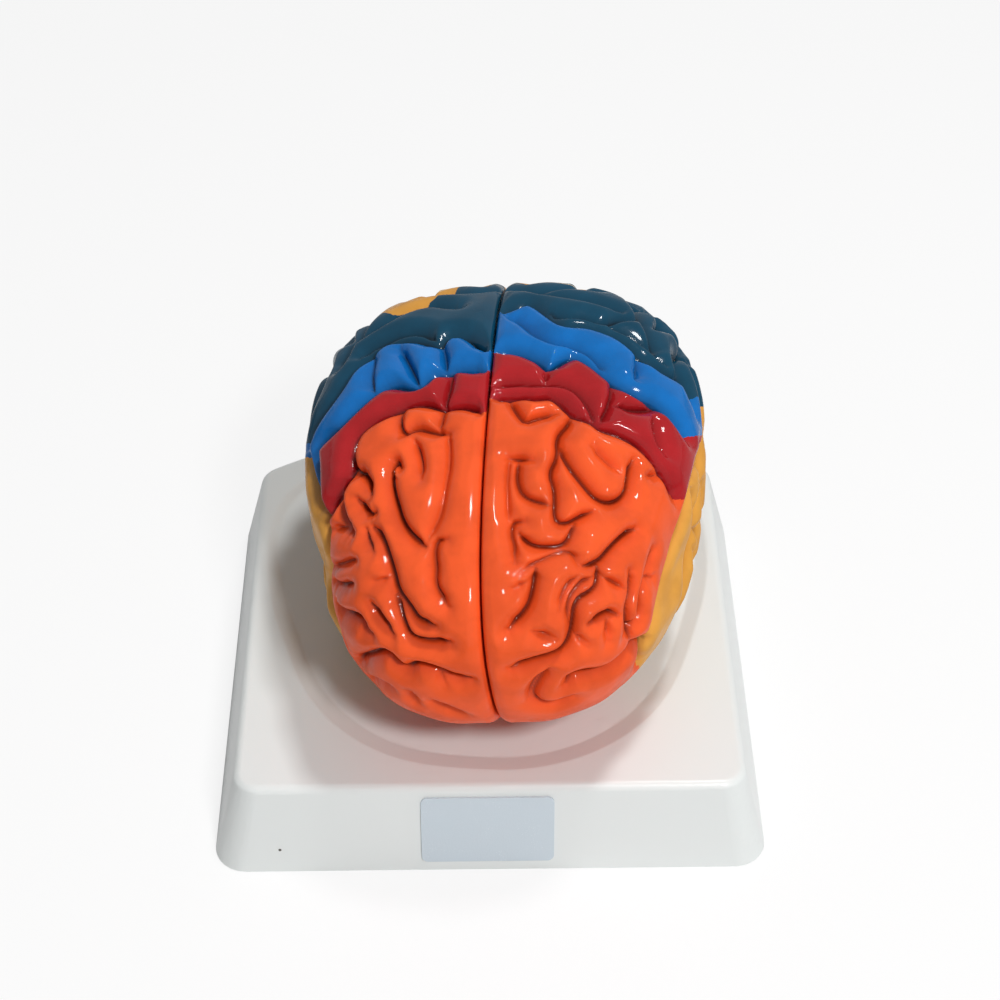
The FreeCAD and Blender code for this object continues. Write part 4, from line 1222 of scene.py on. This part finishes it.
class BRAIN_OT_stand(bpy.types.Operator):
    """White moulded stand"""

    bl_idname = "brain.stand"
    bl_label = "Stand"

    def execute(self, context):
        material, tree, shader = new_material("stand_white")
        c = tuple(colours().stand)
        tint = mixed(tree, ramp(tree, noise(tree, 9, 3), 0.35, 0.65), c, [v * STAND_SHADE for v in c])
        place = tree.nodes.new("ShaderNodeTexCoord").outputs["Object"]
        away = tree.nodes.new("ShaderNodeVectorMath")
        away.operation = "DISTANCE"
        link(tree, place, away.inputs[0])
        away.inputs[1].default_value = SPECK_PLACE
        speck = ramp(tree, away.outputs["Value"], SPECK_INNER, SPECK_OUTER, 1, 0)
        link(tree, mixed(tree, speck, tint, SPECK_COLOUR), shader.inputs["Base Color"])
        link(tree, ramp(tree, noise(tree, 60, 3), 0.3, 0.7, 0.30, 0.34), shader.inputs["Roughness"])
        shader.inputs["Specular IOR Level"].default_value = 0.35
        bump(tree, shader, noise(tree, 45, 3), 0.1, 0.0004)
        piece = smooth_copy("base", "stand_moulding", STAND_SHARP_ANGLE, flatten=False)
        even_shading(piece)
        dress(piece, "base", "stand", (material,))
        return {"FINISHED"}


class BRAIN_OT_plate(bpy.types.Operator):
    """Bare silver blue plate with a fine glitter, whose glints are painted into its colour as lighter flakes
    in patches
    """

    bl_idname = "brain.plate"
    bl_label = "Name plate"

    def execute(self, context):
        material, tree, shader = new_material("plate_silver_blue")
        c = tuple(colours().plate)
        coordinate = tree.nodes.new("ShaderNodeTexCoord").outputs["Object"]
        flakes = tree.nodes.new("ShaderNodeTexVoronoi")
        flakes.inputs["Scale"].default_value = 1500
        link(tree, coordinate, flakes.inputs["Vector"])
        # Painted glints: the glitter's flakes lighter in colour, only in patches
        glinting_flakes = ramp(tree, flakes.outputs["Distance"], 0.05, 0.22, 1, 0)
        glint_patches = ramp(tree, noise(tree, 150, 3, coordinate), 0.5, 0.62)
        painted_glint = maths(tree, "MULTIPLY", glinting_flakes, glint_patches)
        link(tree, mixed(tree, painted_glint, c, GLITTER_GLINT_COLOUR), shader.inputs["Base Color"])
        shader.inputs["Roughness"].default_value = 0.4
        bump(tree, shader, flakes.outputs["Distance"], 0.15, 0.0002)
        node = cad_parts["name_plate"]
        node.data.materials.clear()
        node.data.materials.append(material)
        return {"FINISHED"}


class BRAIN_OT_studio(bpy.types.Operator):
    """White table, soft lamps and the camera"""

    bl_idname = "brain.studio"
    bl_label = "Studio"

    def execute(self, context):
        scene = context.scene
        studio = scene.brain_studio
        self.table()
        for name, place, target_height, size, share in LAMPS:
            self.lamp(name, place, (0.0, 0.0, target_height), size, studio.key * share)
        self.world(scene, studio.fill)
        self.camera(scene, studio.lens)
        scene.view_settings.view_transform = "Standard"
        return {"FINISHED"}

    def table(self):
        bm = bmesh.new()
        bmesh.ops.create_grid(bm, x_segments=2, y_segments=2, size=TABLE_HALF_WIDTH)
        bmesh.ops.translate(bm, vec=(0, 0, -TABLE_DROP), verts=bm.verts[:])
        mesh = bpy.data.meshes.new("table_top")
        bm.to_mesh(mesh)
        bm.free()
        table = new_piece("table_top", mesh)
        material, tree, shader = new_material("white_table")
        shader.inputs["Base Color"].default_value = (0.9, 0.9, 0.9, 1)
        shader.inputs["Roughness"].default_value = 0.6
        glow = tree.nodes.new("ShaderNodeEmission")
        glow.inputs["Color"].default_value = (1, 1, 1, 1)
        rays = tree.nodes.new("ShaderNodeLightPath").outputs["Is Camera Ray"]
        blend = tree.nodes.new("ShaderNodeMixShader")
        link(tree, maths(tree, "MULTIPLY", rays, TABLE_GLOW), blend.inputs[0])
        link(tree, shader.outputs[0], blend.inputs[1])
        link(tree, glow.outputs[0], blend.inputs[2])
        link(tree, blend.outputs[0], tree.nodes["Material Output"].inputs["Surface"])
        table.data.materials.append(material)

    def camera(self, scene, focal_length):
        lens = bpy.data.cameras.new("camera")
        lens.sensor_width = SENSOR_WIDTH
        lens.lens = focal_length
        lens.clip_start = NEAR_CLIP
        camera = bpy.data.objects.new("camera", lens)
        camera.location = CAMERA_PLACE
        camera.rotation_euler = CAMERA_TURN
        scene.collection.objects.link(camera)
        scene.camera = camera

    def lamp(self, name, place, target, size, power):
        light = bpy.data.lights.new(name, "AREA")
        light.size = size
        light.energy = power
        lamp = bpy.data.objects.new(name, light)
        lamp.location = place
        lamp.rotation_euler = (Vector(target) - Vector(place)).to_track_quat("-Z", "Y").to_euler()
        bpy.context.scene.collection.objects.link(lamp)

    # The camera, gloss and glass see a white surround, which lights the object less
    def world(self, scene, strength):
        world = bpy.data.worlds.new("white_surround")
        world.use_nodes = True
        scene.world = world
        tree = world.node_tree
        back = tree.nodes["Background"]
        back.inputs["Color"].default_value = (1, 1, 1, 1)
        path = tree.nodes.new("ShaderNodeLightPath")
        seen = maths(tree, "MAXIMUM", path.outputs["Is Camera Ray"], path.outputs["Is Glossy Ray"])
        seen = maths(tree, "MAXIMUM", seen, path.outputs["Is Transmission Ray"])
        link(tree, ramp(tree, seen, 0, 1, strength, 1.0), back.inputs["Strength"])


class BRAIN_PT_panel(bpy.types.Panel):
    """Lists the pieces of the brain model"""

    bl_idname = "BRAIN_PT_panel"
    bl_label = "Brain model"
    bl_space_type = "VIEW_3D"
    bl_region_type = "UI"
    bl_category = "Brain model"

    def draw(self, context):
        layout = self.layout
        for group in (context.scene.brain_form, context.scene.brain_colours, context.scene.brain_studio):
            for name in group.bl_rna.properties.keys():
                if name not in ("rna_type", "name"):
                    layout.prop(group, name)
        for operator in OPERATORS:
            layout.operator(operator.bl_idname)


OPERATORS = (
    BRAIN_OT_stand,
    BRAIN_OT_plate,
    BRAIN_OT_cerebrum,
    BRAIN_OT_cerebellum,
    BRAIN_OT_brainstem,
    BRAIN_OT_pins,
    BRAIN_OT_studio,
)
CLASSES = (BrainForm, BrainColours, StudioLight) + OPERATORS + (BRAIN_PT_panel,)


def register():
    for item in CLASSES:
        bpy.utils.register_class(item)
    bpy.types.Scene.brain_form = PointerProperty(type=BrainForm)
    bpy.types.Scene.brain_colours = PointerProperty(type=BrainColours)
    bpy.types.Scene.brain_studio = PointerProperty(type=StudioLight)


def unregister():
    del bpy.types.Scene.brain_studio
    del bpy.types.Scene.brain_colours
    del bpy.types.Scene.brain_form
    for item in reversed(CLASSES):
        bpy.utils.unregister_class(item)


def main():
    register()
    bpy.ops.brain.stand()
    bpy.ops.brain.plate()
    bpy.ops.brain.cerebrum()
    bpy.ops.brain.cerebellum()
    bpy.ops.brain.brainstem()
    bpy.ops.brain.pins()
    bpy.ops.brain.studio()


if __name__ == "__main__":
    main()
